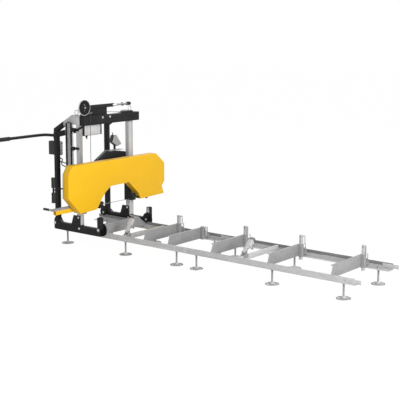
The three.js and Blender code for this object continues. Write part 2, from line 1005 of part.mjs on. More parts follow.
function carriageWheels() {
  const groove = railWall / 2 + wheelGrooveClearance;
  const tread = axleHeight - seat;
  const hole = holeFor(wheelBore, discSides);
  const inner = webLine - wheelWidth / 2;
  const guardInner = halfTrack + seat + trackBoltHeadHeight + runningGap;
  const guardOuter = sideLine - tube / 2 - seat;
  const profile = [
    [hole, inner],
    [wheelFlange, inner],
    [wheelFlange, webLine - groove - wheelGrooveDepth / 2],
    [tread, webLine - groove],
    [tread, webLine + groove],
    [wheelFlange, guardInner],
    [wheelGuard, guardInner],
    [wheelGuard, guardOuter],
    [hole, guardOuter],
    [hole, inner],
  ];
  for (const [label, side] of [['near', -1], ['far', 1]]) {
    const section = side > 0 ? profile : profile.map(([r, y]) => [r, -y]).reverse();
    axlesAt.forEach((x, i) => {
      place(
        `carriage_wheel_${label}_${i + 1}`,
        turned(section, 'y', x, axleHeight, bandSides),
        'black',
        carriage,
      );
    });
  }
}

// Lifting eye standing on a face, its ring across the machine
function eye(x, y, z) {
  const ring = new THREE.TorusGeometry(eyeRadius - eyeThickness, eyeThickness, thinSides, discSides);
  ring.rotateY(Math.PI / 2);
  ring.translate(x, y, z + eyeRadius - eyeThickness / 2);
  return solid(ring);
}

// Cap welded on a mast: it carries the crossbeam in front and the upper brace behind
function mastCap(y0, y1, depth) {
  return alongY(
    [
      [capRear, capRearBottom],
      [capRear, capRearTop],
      [capKnee, capKneeTop],
      [capFront, capTop],
      [capFront, capBottom - mastWall],
      [-depth / 2, capBottom - mastWall],
      [capBottomRear, capBottom],
    ],
    y0,
    y1,
  );
}

function masts() {
  const foot = beamTop + shoeBase + seat;
  for (const [name, side, depth, width] of [
    ['near_mast', -1, nearMast, nearMast],
    ['far_mast', 1, farMastDepth, farMastWidth],
  ]) {
    const [y0, y1] = [side * sideLine - width / 2, side * sideLine + width / 2];
    const post = hollow(-depth / 2, depth / 2, y0, y1, foot, capBottom, mastWall, 'z');
    const cap = mastCap(side * sideLine - nearMast / 2, side * sideLine + nearMast / 2, depth);
    const eyes = side < 0 ? [eye(nearEyeAt, side * sideLine, capKneeTop)] : [];
    place(name, join(post, cap, ...eyes), 'mast', carriage);
  }
}

function crossbeam() {
  const near = -sideLine - nearMast / 2;
  const far = sideLine + farMastWidth / 2 + crossFarReach;
  const shell = cut(
    block(crossRear, crossFront, near, far, crossBottom, crossTop),
    block(
      crossRear + crossWall,
      crossFront - crossWall,
      near + crossWall,
      far + overrun,
      crossBottom + crossWall,
      crossTop - crossWall,
    ),
  );
  const bolts = faceBoltsAt.map((y) => bolt(
    [crossFront - crossWall / 2, y, crossTop - faceBoltDrop],
    [crossFront + boltHeight, y, crossTop - faceBoltDrop],
  ));
  const middle = (crossRear + crossFront) / 2;
  const base = block(
    middle - farEyePlateWidth / 2,
    middle + farEyePlateWidth / 2,
    farEyePlateNear,
    farEyePlateFar,
    crossTop - crossWall / 2,
    crossTop + farEyePlateWall,
  );
  const ring = eye(middle, farEyeAcross, crossTop + farEyePlateWall);
  place('crossbeam', join(shell, base, ring, tankHanger(), winchFrame(), ...bolts), 'black', carriage);
}

// Plate over the tank with a cheek at each end and a ledge under the tank's rim
function tankHanger() {
  const rear = tankRear - seat - hangerWall;
  const near = tankNear - seat - hangerWall;
  const far = tankFar + seat + hangerWall;
  const seatTop = crossBottom + crossWall / 2;
  const plate = block(rear, crossRear + crossWall, near, far, crossBottom - hangerWall, crossBottom);
  const tongue = block(crossRear, crossRear + crossWall, near, far, crossBottom - hangerWall, seatTop);
  const frame = cut(
    block(tankRear, tankFront, near, far, tankBottom - seat - hangerWall, crossBottom),
    block(
      tankRear - overrun,
      tankFront + overrun,
      tankNear - seat,
      tankFar + seat,
      tankBottom - seat,
      crossBottom - hangerWall,
    ),
    block(
      tankRear + hangerWall * 2,
      tankFront - hangerWall * 2,
      tankNear + trayRim,
      tankFar - trayRim,
      tankBottom - overrun,
      tankBottom,
    ),
  );
  return join(plate, frame, tongue);
}

function waterTank() {
  const top = crossBottom - hangerWall - seat;
  const shoulder = top - tankTaper;
  const body = alongX(
    [
      [tankNear + tankTaper, tankBottom],
      [tankNear, shoulder],
      [tankNear, top],
      [tankFar, top],
      [tankFar, shoulder],
      [tankFar - tankTaper, tankBottom],
    ].reverse(),
    tankRear,
    tankFront,
  );
  const y = tankNear + tapAcross;
  const x = tankFront - tapInset;
  const half = tapSize / 2;
  const tap = block(x - half, x + half, y - half, y + half, tankBottom - tapDrop, tankBottom + half);
  place('water_tank', join(body, tap), 'plastic', carriage);
  const z = tankBottom - tapDrop / 2;
  const lever = join(
    rod([x + half + seat, y, z], [x + half + seat + tapLeverWidth, y, z], tapLeverRadius),
    block(
      x + half + seat,
      x + half + seat + tapLeverWidth,
      y - tapLeverWidth / 2,
      y + tapLeverWidth / 2,
      z - tapLeverLength,
      z,
    ),
  );
  place('tank_tap', lever, 'rubber', carriage);
}

// Winch plate on the beam, with the winch's shaft, the pawl's pin and the cable to the far end
function winchFrame() {
  const plateFront = winchPlateBack + winchPlateWall;
  const shaftEnd = winchWheelAt + winchWheelWidth / 2 + winchShaft;
  const foot = crossTop - crossWall / 2;
  const near = -sideLine - nearMast / 2 + crossWall;
  const plate = alongX(
    [
      [winchPlateNear, winchHeight - winchStepDrop],
      [winchPlateNear, winchHeight + winchPlateRise],
      [winchPlateFar, winchHeight + winchPlateRise],
      [winchPlateFar, foot],
      [near, foot],
      [near, winchHeight - winchStepDrop],
    ].reverse(),
    winchPlateBack,
    plateFront,
  );
  const flange = block(
    winchPlateBack,
    plateFront + winchFlange,
    near,
    winchPlateFar,
    foot,
    foot + winchPlateWall,
  );
  const cable = rod(
    [winchPlateBack + winchPlateWall / 2, winchPlateFar - winchPlateWall, farCableHeight],
    [(crossRear + crossFront) / 2, farEyePlateNear + farEyePlateWall, crossTop + farEyePlateWall / 2],
    farCableRadius,
    thinSides,
  );
  const shaft = rod(
    [winchPlateBack, winchAcross, winchHeight],
    [shaftEnd, winchAcross, winchHeight],
    winchShaft,
  );
  const pin = rod(
    [winchPlateBack, pawlAcross, pawlHeight],
    [pawlBack + pawlThick, pawlAcross, pawlHeight],
    pawlPivot,
  );
  return join(plate, flange, shaft, pin, cable);
}

function winch() {
  const half = winchWheelWidth / 2;
  const hole = holeFor(winchShaft, bandSides);
  const wheel = turned(
    [
      [hole, winchWheelAt - half],
      [winchWheelRadius, winchWheelAt - half],
      [winchWheelRadius - winchGroove, winchWheelAt],
      [winchWheelRadius, winchWheelAt + half],
      [hole, winchWheelAt + half],
      [hole, winchWheelAt - half],
    ],
    'x',
    winchAcross,
    winchHeight,
    bandSides,
  );
  place('winch_wheel', wheel, 'black', carriage);
  liftLever();
  pawl();
}

function liftLever() {
  const middle = leverBack + leverThick / 2;
  const half = leverHeight / 2;
  const hub = rod(
    [leverBack, winchAcross, winchHeight],
    [leverBack + leverThick, winchAcross, winchHeight],
    hubRadius,
  );
  const bar = block(
    leverBack,
    leverBack + leverThick,
    winchAcross,
    leverTubeEnd,
    winchHeight - half,
    winchHeight + half,
  );
  const rodBar = rod(
    [middle, leverTubeEnd - overrun, winchHeight],
    [middle, leverRodEnd, winchHeight],
    leverRodRadius,
  );
  const collar = rod(
    [middle, leverCollarAt - leverCollarLength, winchHeight],
    [middle, leverCollarAt, winchHeight],
    leverCollarRadius,
  );
  const grip = rod([middle, leverRodEnd, winchHeight], [middle, leverGripEnd, winchHeight], leverGripRadius);
  const hole = rod(
    [leverBack - overrun, winchAcross, winchHeight],
    [leverBack + leverThick + overrun, winchAcross, winchHeight],
    holeFor(winchShaft),
  );
  place('lift_lever', cut(join(hub, bar, rodBar, collar, grip), hole), 'black', carriage);
}

function pawl() {
  const front = pawlBack + pawlThick;
  const boss = rod([pawlBack, pawlAcross, pawlHeight], [front, pawlAcross, pawlHeight], pawlBoss);
  const arm = block(
    pawlBack,
    front,
    pawlAcross,
    pawlAcross + pawlLength,
    pawlHeight - pawlWidth / 2,
    pawlHeight + pawlWidth / 2,
  );
  const tooth = block(
    pawlBack,
    front,
    pawlAcross - pawlBoss * 2,
    pawlAcross,
    pawlHeight,
    pawlHeight + pawlWidth / 2,
  );
  const hole = rod(
    [pawlBack - overrun, pawlAcross, pawlHeight],
    [front + overrun, pawlAcross, pawlHeight],
    holeFor(pawlPivot),
  );
  place('winch_pawl', cut(join(boss, arm, tooth), hole), 'chrome', carriage);
}

function liftCable() {
  const y = winchAcross + winchWheelRadius + cableRadius + seat;
  place(
    'lift_cable',
    rod([winchWheelAt, y, cableLugTop + seat], [winchWheelAt, y, winchHeight], cableRadius, thinSides),
    'steel',
    carriage,
  );
}

function pushHandle() {
  const start = postAt - tube / 2 - seat - handlePlateWall;
  const y = -sideLine;
  const points = [
    [start + handlePlateWall / 2, y, handleHeight],
    [handleBack + handleBend, y, handleHeight],
    [handleBack + handleBend / 4, y - handleBend / 4, handleHeight],
    [handleBack, y - handleBend, handleHeight],
    [handleBack, (y + handleEnd) / 2, handleHeight],
    [handleBack, handleEnd, handleHeight],
  ];
  const bar = sweptBar(points, handleRadius, discSides);
  const grip = rod(
    [handleBack, handleEnd - handleGripEnd, handleHeight],
    [handleBack, handleEnd + handleGripLength, handleHeight],
    handleGripRadius,
  );
  const plate = block(
    start,
    start + handlePlateWall,
    y - tube / 2,
    y + tube / 2,
    handleHeight - handlePlate / 2,
    handleHeight + handlePlate / 2,
  );
  place('push_handle', join(bar, grip, plate), 'black', carriage);
}

function controlBox() {
  const y0 = -sideLine + tube / 2 + seat;
  const box = block(controlRear, controlFront, y0, y0 + controlDepth, controlBottom, controlTop);
  const leads = leadPoints.map((points) => sweptBar(points, leadRadius, discSides, thinSides));
  place('control_box', join(box, ...leads), 'greyBox', carriage);
}

function heightScale() {
  const mastFace = -sideLine - nearMast / 2;
  const back = mastFace - scaleStandOff;
  const open = back - scaleDepth;
  const channel = cut(
    block(scaleRear, scaleFront, open, back, scaleBottom, scaleTop),
    block(
      scaleRear + scaleWall,
      scaleFront - scaleWall,
      open - overrun,
      back - scaleWall,
      scaleBottom - overrun,
      scaleTop - scaleWall,
    ),
  );
  const half = scaleBracketHeight / 2;
  const brackets = scaleBracketsAt.flatMap((z) => [
    block(
      scaleFront - scaleBlock,
      scaleBracketEnd,
      back - scaleWall / 2,
      mastFace - seat,
      z - half,
      z + half,
    ),
    block(
      scaleFront,
      scaleFront + scaleBlock,
      open + scaleWall,
      back,
      z - scaleBlock / 2,
      z + scaleBlock / 2,
    ),
  ]);
  const upperBracket = scaleBracketsAt[scaleBracketsAt.length - 1];
  const stayHalf = scaleStayHeight / 2;
  const stay = alongY(
    [
      [0, upperBracket - stayHalf],
      [scaleStayEnd, upperBracket + scaleStayRise - stayHalf],
      [scaleStayEnd, upperBracket + scaleStayRise + stayHalf],
      [0, upperBracket + stayHalf],
    ],
    back - scaleWall / 2,
    mastFace - seat,
  );
  const strip = block(
    scaleFront + stripGap,
    scaleFront + stripGap + stripWidth,
    back - scaleWall - stripWall,
    back - scaleWall,
    scaleBottom,
    stripTop,
  );
  const pins = [scaleRear + scaleDepth, scaleFront - scaleDepth].map((x) => rod(
    [x, (open + back) / 2, scaleTop - scaleWall / 2],
    [x, (open + back) / 2, scaleTop + scalePinLength],
    scalePinRadius,
    thinSides,
  ));
  place('height_scale', join(channel, ...brackets, stay, strip, ...pins), 'black', carriage);
}

// Channel-shaped slide round three faces of a mast, open on the mast's outer face
function mastSlide(side) {
  const width = side < 0 ? nearMast : farMastWidth;
  const depth = side < 0 ? nearMast : farMastDepth;
  const inner = sideLine - width / 2;
  const outer = sideLine + width / 2;
  const x0 = -depth / 2 - runningGap;
  const x1 = depth / 2 + runningGap;
  const [a0, a1] = across(side, inner - runningGap - slideWall, outer - runningGap);
  const [b0, b1] = across(side, inner - runningGap, outer + overrun);
  return cut(
    block(x0 - slideWall, headBack + headWall / 2, a0, a1, slideBottom, slideTop),
    block(x0, x1, b0, b1, slideBottom - overrun, slideTop + overrun),
  );
}

function headFrame() {
  const beam = hollow(headBack, headFront, headNear, headFar, headBottom, headTop, headWall, 'y');
  const slides = [-1, 1].map((side) => mastSlide(side));
  const plate = backPlate();
  const deck = block(
    deckRear,
    headBack + headWall / 2,
    deckNear,
    sideLine - farMastWidth / 2 - slideWall * 2,
    headTop,
    deckTop,
  );
  const bearer = block(
    headBack - headWall,
    headFront,
    deckNear,
    sideLine - farMastWidth,
    headTop - headWall / 2,
    deckTop,
  );
  const stub = rod(
    [headFront - headWall / 2, bandWheelFar, wheelCentre],
    [stubFront, bandWheelFar, wheelCentre],
    stubRadius,
  );
  const head = rod(
    [bladePlane + hubWidth / 2 + seat, bandWheelFar, wheelCentre],
    [stubFront, bandWheelFar, wheelCentre],
    stubRadius + axleHeadLength,
    hexSides,
  );
  place(
    'head_frame',
    join(beam, ...slides, plate, deck, bearer, stub, head, farGuide(), armSleeve(), cableLug(), yoke()),
    'black',
    carriage,
  );
}

// Plate behind the band wheels, with a slot for the sliding near axle and the blade's notches
function backPlate() {
  const x1 = coverBack - seat;
  const x0 = x1 - backPlateWall;
  const plate = alongX([...coverOutline].reverse(), x0, x1);
  const slot = block(
    x0 - overrun,
    x1 + overrun,
    bandWheelNear - hubOuter,
    bandWheelNear + hubOuter + overrun,
    wheelCentre - hubOuter,
    wheelCentre + hubOuter,
  );
  const posts = [headNear + headDepth, 0, bandWheelFar - hubOuter * 2].map((y) => block(
    headFront - headWall / 2,
    x0 + backPlateWall / 2,
    y - headHeight / 4,
    y + headHeight / 4,
    headBottom + headHeight / 4,
    headTop - headHeight / 4,
  ));
  return join(cut(plate, slot), ...posts);
}

// Two guide pads over and under the blade, bridged behind it
function guidePads(y0, y1, bottom, top) {
  return cut(
    block(guideBack, guideReach, y0, y1, bottom, top),
    block(
      bladePlane - bandWheelWidth / 2 - guideBridge / 2,
      guideReach + overrun,
      y0 - overrun,
      y1 + overrun,
      bladeBottom - bladeThickness - guideSlot,
      bladeBottom + guideSlot,
    ),
  );
}

function farGuide() {
  const hanger = block(
    guideBack,
    guideBack + guideDepth,
    farGuideNear,
    farGuideFar,
    guideTop - overrun,
    headBottom + headWall / 2,
  );
  return join(guidePads(farGuideNear, farGuideFar, guideBottom, guideTop), hanger);
}

function armSleeve() {
  const gap = runningGap;
  const top = armTop + armPlate;
  const x0 = guideBack - gap;
  const x1 = guideBack + guideDepth + gap;
  const sleeve = cut(
    block(
      x0 - armSleeveWall,
      x1 + armSleeveWall,
      armSleeveNear,
      armSleeveFar,
      armBottom - gap - armSleeveWall,
      top + gap + armSleeveWall,
    ),
    block(x0, x1, armSleeveNear - overrun, armSleeveFar + overrun, armBottom - gap, top + gap),
  );
  const hanger = block(
    x0,
    x1,
    armSleeveNear,
    armSleeveFar,
    top + gap + armSleeveWall / 2,
    headBottom + headWall / 2,
  );
  return join(sleeve, hanger);
}

function cableLug() {
  const y = winchAcross + winchWheelRadius + cableRadius + seat;
  return join(
    block(
      headFront - lugReach,
      winchWheelAt + cableRadius * 2,
      y - lugReach,
      y + lugReach,
      headTop - headWall / 2,
      cableLugTop,
    ),
    block(headBack, winchWheelAt, y - lugReach, y + lugReach, headTop - headWall / 2, headTop + lugReach),
  );
}

// Yoke at the near end: two straps and the plate that the tension screw turns in
function yoke() {
  const end = headNear - yokeReach;
  const x0 = headBack + yokeInset;
  const x1 = headFront - yokeInset;
  const levels = [
    [headTop - seat, headTop + yokeWall],
    [headBottom - yokeWall, headBottom + seat],
  ];
  const straps = levels.map(([z0, z1]) => (
    block(x0, x1, end, headNear + overrun, z0, z1)
  ));
  const middle = (headBack + headFront) / 2;
  const plate = cut(
    block(x0, x1, end, end + yokePlate, headBottom - yokeWall, headTop + yokeWall),
    rod([middle, end - overrun, wheelCentre], [middle, end + overrun, wheelCentre], holeFor(screwRadius)),
  );
  return join(...straps, plate);
}

function bandWheel(name, y) {
  const half = bandWheelWidth / 2;
  const web = webThickness / 2;
  const hub = hubWidth / 2;
  const hole = holeFor(stubRadius, bandSides);
  const rim = bandWheelRadius - rimDepth;
  const profile = [
    [hole, bladePlane - hub],
    [hubOuter, bladePlane - hub],
    [hubOuter, bladePlane - web],
    [rim, bladePlane - web],
    [rim, bladePlane - half],
    [bandWheelRadius, bladePlane - half],
    [bandWheelRadius, bladePlane + half],
    [rim, bladePlane + half],
    [rim, bladePlane + web],
    [hubOuter, bladePlane + web],
    [hubOuter, bladePlane + hub],
    [hole, bladePlane + hub],
    [hole, bladePlane - hub],
  ];
  place(name, turned(profile, 'x', y, wheelCentre, bandSides), 'steel', carriage);
}

// Stadium of points round both band wheels
function bandLoop(radius) {
  const points = [];
  const steps = bandSides / 2;
  for (const [y, start] of [[bandWheelFar, -Math.PI / 2], [bandWheelNear, Math.PI / 2]]) {
    for (let i = 0; i <= steps; i += 1) {
      const turn = start + (Math.PI * i) / steps;
      points.push([y + radius * Math.cos(turn), wheelCentre + radius * Math.sin(turn)]);
    }
  }
  return points;
}

function sawBlade() {
  const x0 = bladePlane - bandWheelWidth / 2;
  const band = cut(
    alongX(bandLoop(bladeLoop + bladeThickness), x0, x0 + bladeWidth),
    alongX(bandLoop(bladeLoop), x0 - overrun, x0 + bladeWidth + overrun),
  );
  place('saw_blade', band, 'steel', carriage);
}

function bladeCover() {
  const outer = [...coverOutline].reverse();
  const inner = inset(coverOutline, coverWall).reverse();
  const front = coverBack + coverDepth;
  const shell = cut(
    alongX(outer, coverBack, front),
    alongX(inner, coverBack - overrun, front - coverWall),
  );
  const notches = [coverNearLip, coverFarLip].map(([y]) => block(
    coverBack - overrun,
    coverBack + bladeNotchDepth,
    y - overrun * 2,
    y + overrun * 2,
    bladeNotchLow,
    bladeNotchHigh,
  ));
  const clips = clipsAt.map((y) => {
    const level = (y < 0 ? coverNearFoot : coverFarLip)[1];
    return block(
      front - clipSize,
      front - coverWall,
      y - clipSize / 2,
      y + clipSize / 2,
      level - clipDrop,
      level + coverDepth / 4,
    );
  });
  place('blade_cover', join(cut(shell, ...notches), ...clips), 'yellow', carriage);
}

function guideArm() {
  const x0 = guideBack;
  const x1 = guideBack + guideDepth;
  const channel = hollow(x0, x1, armNear, nearGuideFar, armBottom, armTop, armWall, 'y');
  const plate = block(x0, x1, armPlateNear, nearGuideFar, armTop - armWall / 2, armTop + armPlate);
  const pads = guidePads(nearGuideNear, nearGuideFar, nearGuideBottom, armTop + armPlate);
  const z = armTop + armPlate / 2;
  const y = armPlateNear + armFerruleRadius;
  const handle = join(
    rod([x0 + armWall, y, z], [x0 - armHandleStart, y, z], armHandleRadius),
    rod([x0 - armHandleStart + armFerruleLength, y, z], [x0 - armHandleStart, y, z], armFerruleRadius),
    rod([x0 - armHandleStart, y, z], [x0 - armHandleStart - armGripLength, y, z], armGripRadius),
  );
  place('guide_arm', join(channel, plate, pads, handle), 'yellow', carriage);
}

function tension() {
  const gap = blockClearance;
  const x0 = headBack + headWall + gap;
  const x1 = headFront - headWall - gap;
  const z0 = headBottom + headWall + gap;
  const z1 = headTop - headWall - gap;
  const middle = (headBack + headFront) / 2;
  const body = cut(
    block(x0, x1, blockNear, blockFar, z0, z1),
    rod(
      [middle, blockNear - overrun, wheelCentre],
      [middle, blockNear + screwHoleDepth, wheelCentre],
      holeFor(screwRadius),
    ),
  );
  const stub = rod(
    [x1 - headWall, bandWheelNear, wheelCentre],
    [stubFront, bandWheelNear, wheelCentre],
    stubRadius,
  );
  const head = rod(
    [bladePlane + hubWidth / 2 + seat, bandWheelNear, wheelCentre],
    [stubFront, bandWheelNear, wheelCentre],
    stubRadius + axleHeadLength,
    hexSides,
  );
  place('tension_block', join(body, stub, head), 'steel', carriage);

  const bar = rod(
    [middle, screwEnd, wheelCentre - tBarHalf],
    [middle, screwEnd, wheelCentre + tBarHalf],
    tBarRadius,
  );
  const grips = [-1, 1].map((way) => rod(
    [middle, screwEnd, wheelCentre + way * tBarHalf],
    [middle, screwEnd, wheelCentre + way * (tBarHalf - tGripLength)],
    tGripRadius,
  ));
  const shank = rod([middle, screwEnd, wheelCentre], [middle, screwTip, wheelCentre], screwRadius);
  const collar = rod(
    [middle, headNear - yokeReach - seat, wheelCentre],
    [middle, headNear - yokeReach - armFerruleLength, wheelCentre],
    screwRadius * 2,
  );
  place('tension_screw', join(bar, ...grips, shank, collar), 'black', carriage);
}

function engine() {
  const base = deckTop + seat;
  const lifted = (points) => points.map(([y, z]) => [y, base + engineStand + z]).reverse();
  const body = alongX(lifted(engineOutline), engineRear, engineFront);
  const cylinder = alongX(lifted(blockOutline), blockRear, blockFront);
  const shroud = alongX(lifted(shroudOutline), shroudRear, shroudFront);
  const throttle = bentRod(throttlePoints.map(([y, z]) => [throttleAt, y, z]), throttleRadius, thinSides);
  const stand = block(
    engineRear + overrun,
    engineFront - overrun,
    engineOutline[0][0] + overrun,
    engineOutline[5][0] - overrun,
    base,
    base + engineStand * 2,
  );
  const recoil = rod(
    [engineFront - engineStand, pulleyAcross, base + pulleyHeight],
    [engineFront + pulleyWidth, pulleyAcross, base + pulleyHeight],
    pulleyRadius,
    discSides,
  );
  const cowl = alongX([...cowlOutline].reverse(), cowlRear, cowlFront);
  const middle = (cowlRear + cowlFront) / 2;
  const stub = rod(
    [middle, cowlStubAcross, cowlStubBottom],
    [middle, cowlStubAcross, cowlStubTop],
    cowlStubRadius,
  );
  const stick = rod(
    [middle, cowlStickAcross, cowlOutline[4][1]],
    [middle, cowlStickAcross, cowlStickTop],
    cowlStickRadius,
    thinSides,
  );
  place(
    'engine',
    join(body, cylinder, shroud, throttle, stand, recoil, cowl, stub, stick),
    'black',
    carriage,
  );
}

trackRails();
feet();
bunks();
logStops();
logClamps();
place('near_side_frame', sideFrame(-1), 'black', carriage);
place('far_side_frame', sideFrame(1), 'black', carriage);
masts();
crossbeam();
winch();
carriageWheels();
pushHandle();
controlBox();
heightScale();
waterTank();
liftCable();
headFrame();
bladeCover();
bandWheel('band_wheel_near', bandWheelNear);
bandWheel('band_wheel_far', bandWheelFar);
sawBlade();
guideArm();
tension();
engine();

// The origin is the middle of the machine's outline on the ground
sawmill.updateMatrixWorld(true);
const extent = new THREE.Box3().setFromObject(sawmill);
const centre = extent.getCenter(new THREE.Vector3());
sawmill.position.set(-centre.x, -centre.y, -extent.min.z);

export default sawmill;
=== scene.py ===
import json
import math

import bmesh
import bpy
from mathutils import Matrix, Vector

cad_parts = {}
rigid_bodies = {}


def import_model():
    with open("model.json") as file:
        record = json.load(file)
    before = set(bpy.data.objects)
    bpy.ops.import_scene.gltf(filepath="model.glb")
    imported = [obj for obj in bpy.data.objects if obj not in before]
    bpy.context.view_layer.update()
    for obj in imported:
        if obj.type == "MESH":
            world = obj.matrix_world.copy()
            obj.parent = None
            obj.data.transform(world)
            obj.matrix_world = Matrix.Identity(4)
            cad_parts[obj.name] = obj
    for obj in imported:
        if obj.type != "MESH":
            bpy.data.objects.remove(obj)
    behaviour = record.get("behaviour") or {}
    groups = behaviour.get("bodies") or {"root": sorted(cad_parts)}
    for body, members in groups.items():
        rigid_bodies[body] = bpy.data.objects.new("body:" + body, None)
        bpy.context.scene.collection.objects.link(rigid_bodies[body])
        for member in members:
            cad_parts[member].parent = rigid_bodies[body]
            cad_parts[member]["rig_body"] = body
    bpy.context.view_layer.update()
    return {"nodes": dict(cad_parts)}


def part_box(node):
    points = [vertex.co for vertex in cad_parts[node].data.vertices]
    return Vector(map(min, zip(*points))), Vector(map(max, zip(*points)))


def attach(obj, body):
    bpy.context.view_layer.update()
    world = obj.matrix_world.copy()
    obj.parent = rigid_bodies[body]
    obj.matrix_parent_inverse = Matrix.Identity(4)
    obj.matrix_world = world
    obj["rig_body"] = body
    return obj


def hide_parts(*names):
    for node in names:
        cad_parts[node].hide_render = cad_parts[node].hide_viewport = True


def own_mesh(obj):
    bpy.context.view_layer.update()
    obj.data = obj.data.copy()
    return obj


bl_info = {
    "name": "Portable band sawmill",
    "version": (1, 0, 0),
    "blender": (4, 5, 0),
    "location": "View3D > Sidebar > Sawmill",
    "description": "Dresses a portable band sawmill: track, carriage, saw head and engine",
    "category": "Add Mesh",
}

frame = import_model()
nodes = frame["nodes"]

# Places are millimetres from the carriage's own origin at rest, turned into the frame's metres
CARRIAGE = Vector((-1.501, 0.157, 0.22))
SIDE_LINE = 407.5
AXLES = (-392, 306)
AXLE_LEVEL = 28
SIDES = (("near", -1), ("far", 1))
ALONG, ACROSS, UP, DOWN = (1, 0, 0), (0, 1, 0), (0, 0, 1), (0, 0, -1)


def on_carriage(x, y, z):
    return CARRIAGE + Vector((x, y, z)) / 1000


def middle(name):
    """Centre of a CAD node's box at rest."""
    low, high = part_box(name)
    return (low + high) / 2


# Shader sums written as plain expressions
class Value:
    def __init__(self, shader, socket):
        self.shader = shader
        self.socket = socket

    def math(self, operation, *others):
        return self.shader.add("ShaderNodeMath", dict(enumerate((self, *others))), operation=operation)

    def __add__(self, other):
        return self.math("ADD", other)

    __radd__ = __add__

    def __sub__(self, other):
        return self.math("SUBTRACT", other)

    def __rsub__(self, other):
        return self.shader.add("ShaderNodeMath", {0: other, 1: self}, operation="SUBTRACT")

    def __mul__(self, other):
        return self.math("MULTIPLY", other)

    def __gt__(self, other):
        return self.math("GREATER_THAN", other)

    def clamp(self, low, high):
        return self.math("MAXIMUM", low).math("MINIMUM", high)


class Shader:
    """One finish: a Principled surface and the nodes that vary it."""

    def __init__(self, name, **constants):
        self.material = bpy.data.materials.new(name)
        self.material.use_nodes = True
        self.nodes = self.material.node_tree.nodes
        self.links = self.material.node_tree.links
        self.surface = self.nodes["Principled BSDF"]
        for key, value in constants.items():
            self.set(self.surface, key.replace("_", " "), value)

    def set(self, node, key, value):
        socket = node.inputs[key]
        if isinstance(value, Value):
            self.links.new(value.socket, socket)
        elif socket.type == "RGBA" and len(value) == 3:
            socket.default_value = (*value, 1)
        else:
            socket.default_value = value

    def add(self, kind, sockets=None, output=0, **settings):
        node = self.nodes.new(kind)
        for key, value in settings.items():
            setattr(node, key, value)
        for key, value in (sockets or {}).items():
            self.set(node, key, value)
        return Value(self, node.outputs[output])

    def coordinates(self, stretch=(1, 1, 1)):
        point = self.add("ShaderNodeTexCoord", output="Object")
        return self.add("ShaderNodeMapping", {"Vector": point, "Scale": stretch})

    def noise(self, scale, detail=3, stretch=(1, 1, 1)):
        sockets = {"Vector": self.coordinates(stretch), "Scale": scale, "Detail": detail, "Roughness": 0.55}
        return self.add("ShaderNodeTexNoise", sockets)

    def crystals(self, scale):
        """A different grey for each cell of the pattern."""
        sockets = {"Vector": self.coordinates(), "Scale": scale}
        colour = self.add("ShaderNodeTexVoronoi", sockets, output="Color")
        return self.add("ShaderNodeSeparateColor", {"Color": colour})

    def mix(self, share, first, second):
        return self.add("ShaderNodeMix", {0: share, 6: first, 7: second}, output=2, data_type="RGBA")

    def vary(self, key, value):
        self.set(self.surface, key, value)

    def bump(self, height, strength, distance):
        sockets = {"Height": height, "Strength": strength, "Distance": distance}
        self.vary("Normal", self.add("ShaderNodeBump", sockets))


def shade(colour, factor):
    return tuple(min(1.0, c * factor) for c in colour)


def dusty(colour):
    """The colour with a little grey on it."""
    return tuple(c + 0.02 for c in colour)


def linear(red, green, blue):
    return tuple((c / 12.92 if c <= 0.04045 else ((c + 0.055) / 1.055) ** 2.4) for c in (red, green, blue))


# Finishes
def zinc_plate(name, colour, spangle, roughness, metallic):
    """Galvanised steel: cloudy grey with faint crystals and rubbed streaks."""
    s = Shader(name, Metallic=metallic)
    cloud = s.noise(5, 5)
    crystal = s.crystals(70)
    streak = s.noise(14, 4, (0.3, 3, 3))
    mottle = (cloud * 0.7 + crystal * spangle + streak * 0.35 - 0.35).clamp(0, 1)
    s.vary("Base Color", s.mix(mottle, shade(colour, 0.74), shade(colour, 1.14)))
    s.vary("Roughness", (roughness + crystal * 0.1 + cloud * 0.12 - 0.08).clamp(0.15, 0.9))
    s.bump(cloud * 0.3 + s.noise(320, 3) * 0.7, 0.12, 0.0006)
    return s.material


def gloss_paint(name, colour, roughness, coat):
    """Stove paint: slight orange peel, faint dust in patches and fine rub marks."""
    s = Shader(name, Coat_Weight=coat, Coat_Roughness=0.12, Specular_IOR_Level=0.35)
    patch = s.noise(3.2, 4)
    rub = (s.noise(30, 5, (1, 1, 5)) > 0.67) * 0.35
    clean = s.mix(patch, shade(colour, 0.93), shade(colour, 1.05))
    s.vary("Base Color", s.mix(rub * 0.3, clean, shade(colour, 1.12)))
    s.vary("Roughness", (roughness + patch * 0.12 - 0.06 + rub * 0.15).clamp(0.08, 0.9))
    s.bump(s.noise(260, 2), 0.06, 0.0005)
    return s.material


def black_coat(name, colour, roughness):
    """Black powder coat: fine pebble and a little grey dust on it."""
    s = Shader(name, Specular_IOR_Level=0.15)
    dust = (s.noise(6, 5) - 0.46).clamp(0, 1) * (s.noise(60, 3) - 0.3).clamp(0, 1) * 4
    s.vary("Base Color", s.mix(dust.clamp(0, 1), colour, dusty(colour)))
    s.vary("Roughness", (roughness + dust * 0.3).clamp(0.1, 0.95))
    s.bump(s.noise(700, 2) + s.noise(150, 2) * 0.6, 0.14, 0.0004)
    return s.material


def bright_metal(name, colour, roughness, stretch):
    """Machined or plated steel with drawn marks along one direction."""
    s = Shader(name, Metallic=0.92)
    drawn = s.noise(120, 4, stretch)
    stain = s.noise(9, 4)
    tone = (stain * 0.8 + drawn * 0.4 - 0.2).clamp(0, 1)
    s.vary("Base Color", s.mix(tone, shade(colour, 0.72), shade(colour, 1.08)))
    s.vary("Roughness", (roughness + drawn * 0.16 + stain * 0.1 - 0.12).clamp(0.05, 0.8))
    s.bump(drawn, 0.08, 0.0004)
    return s.material


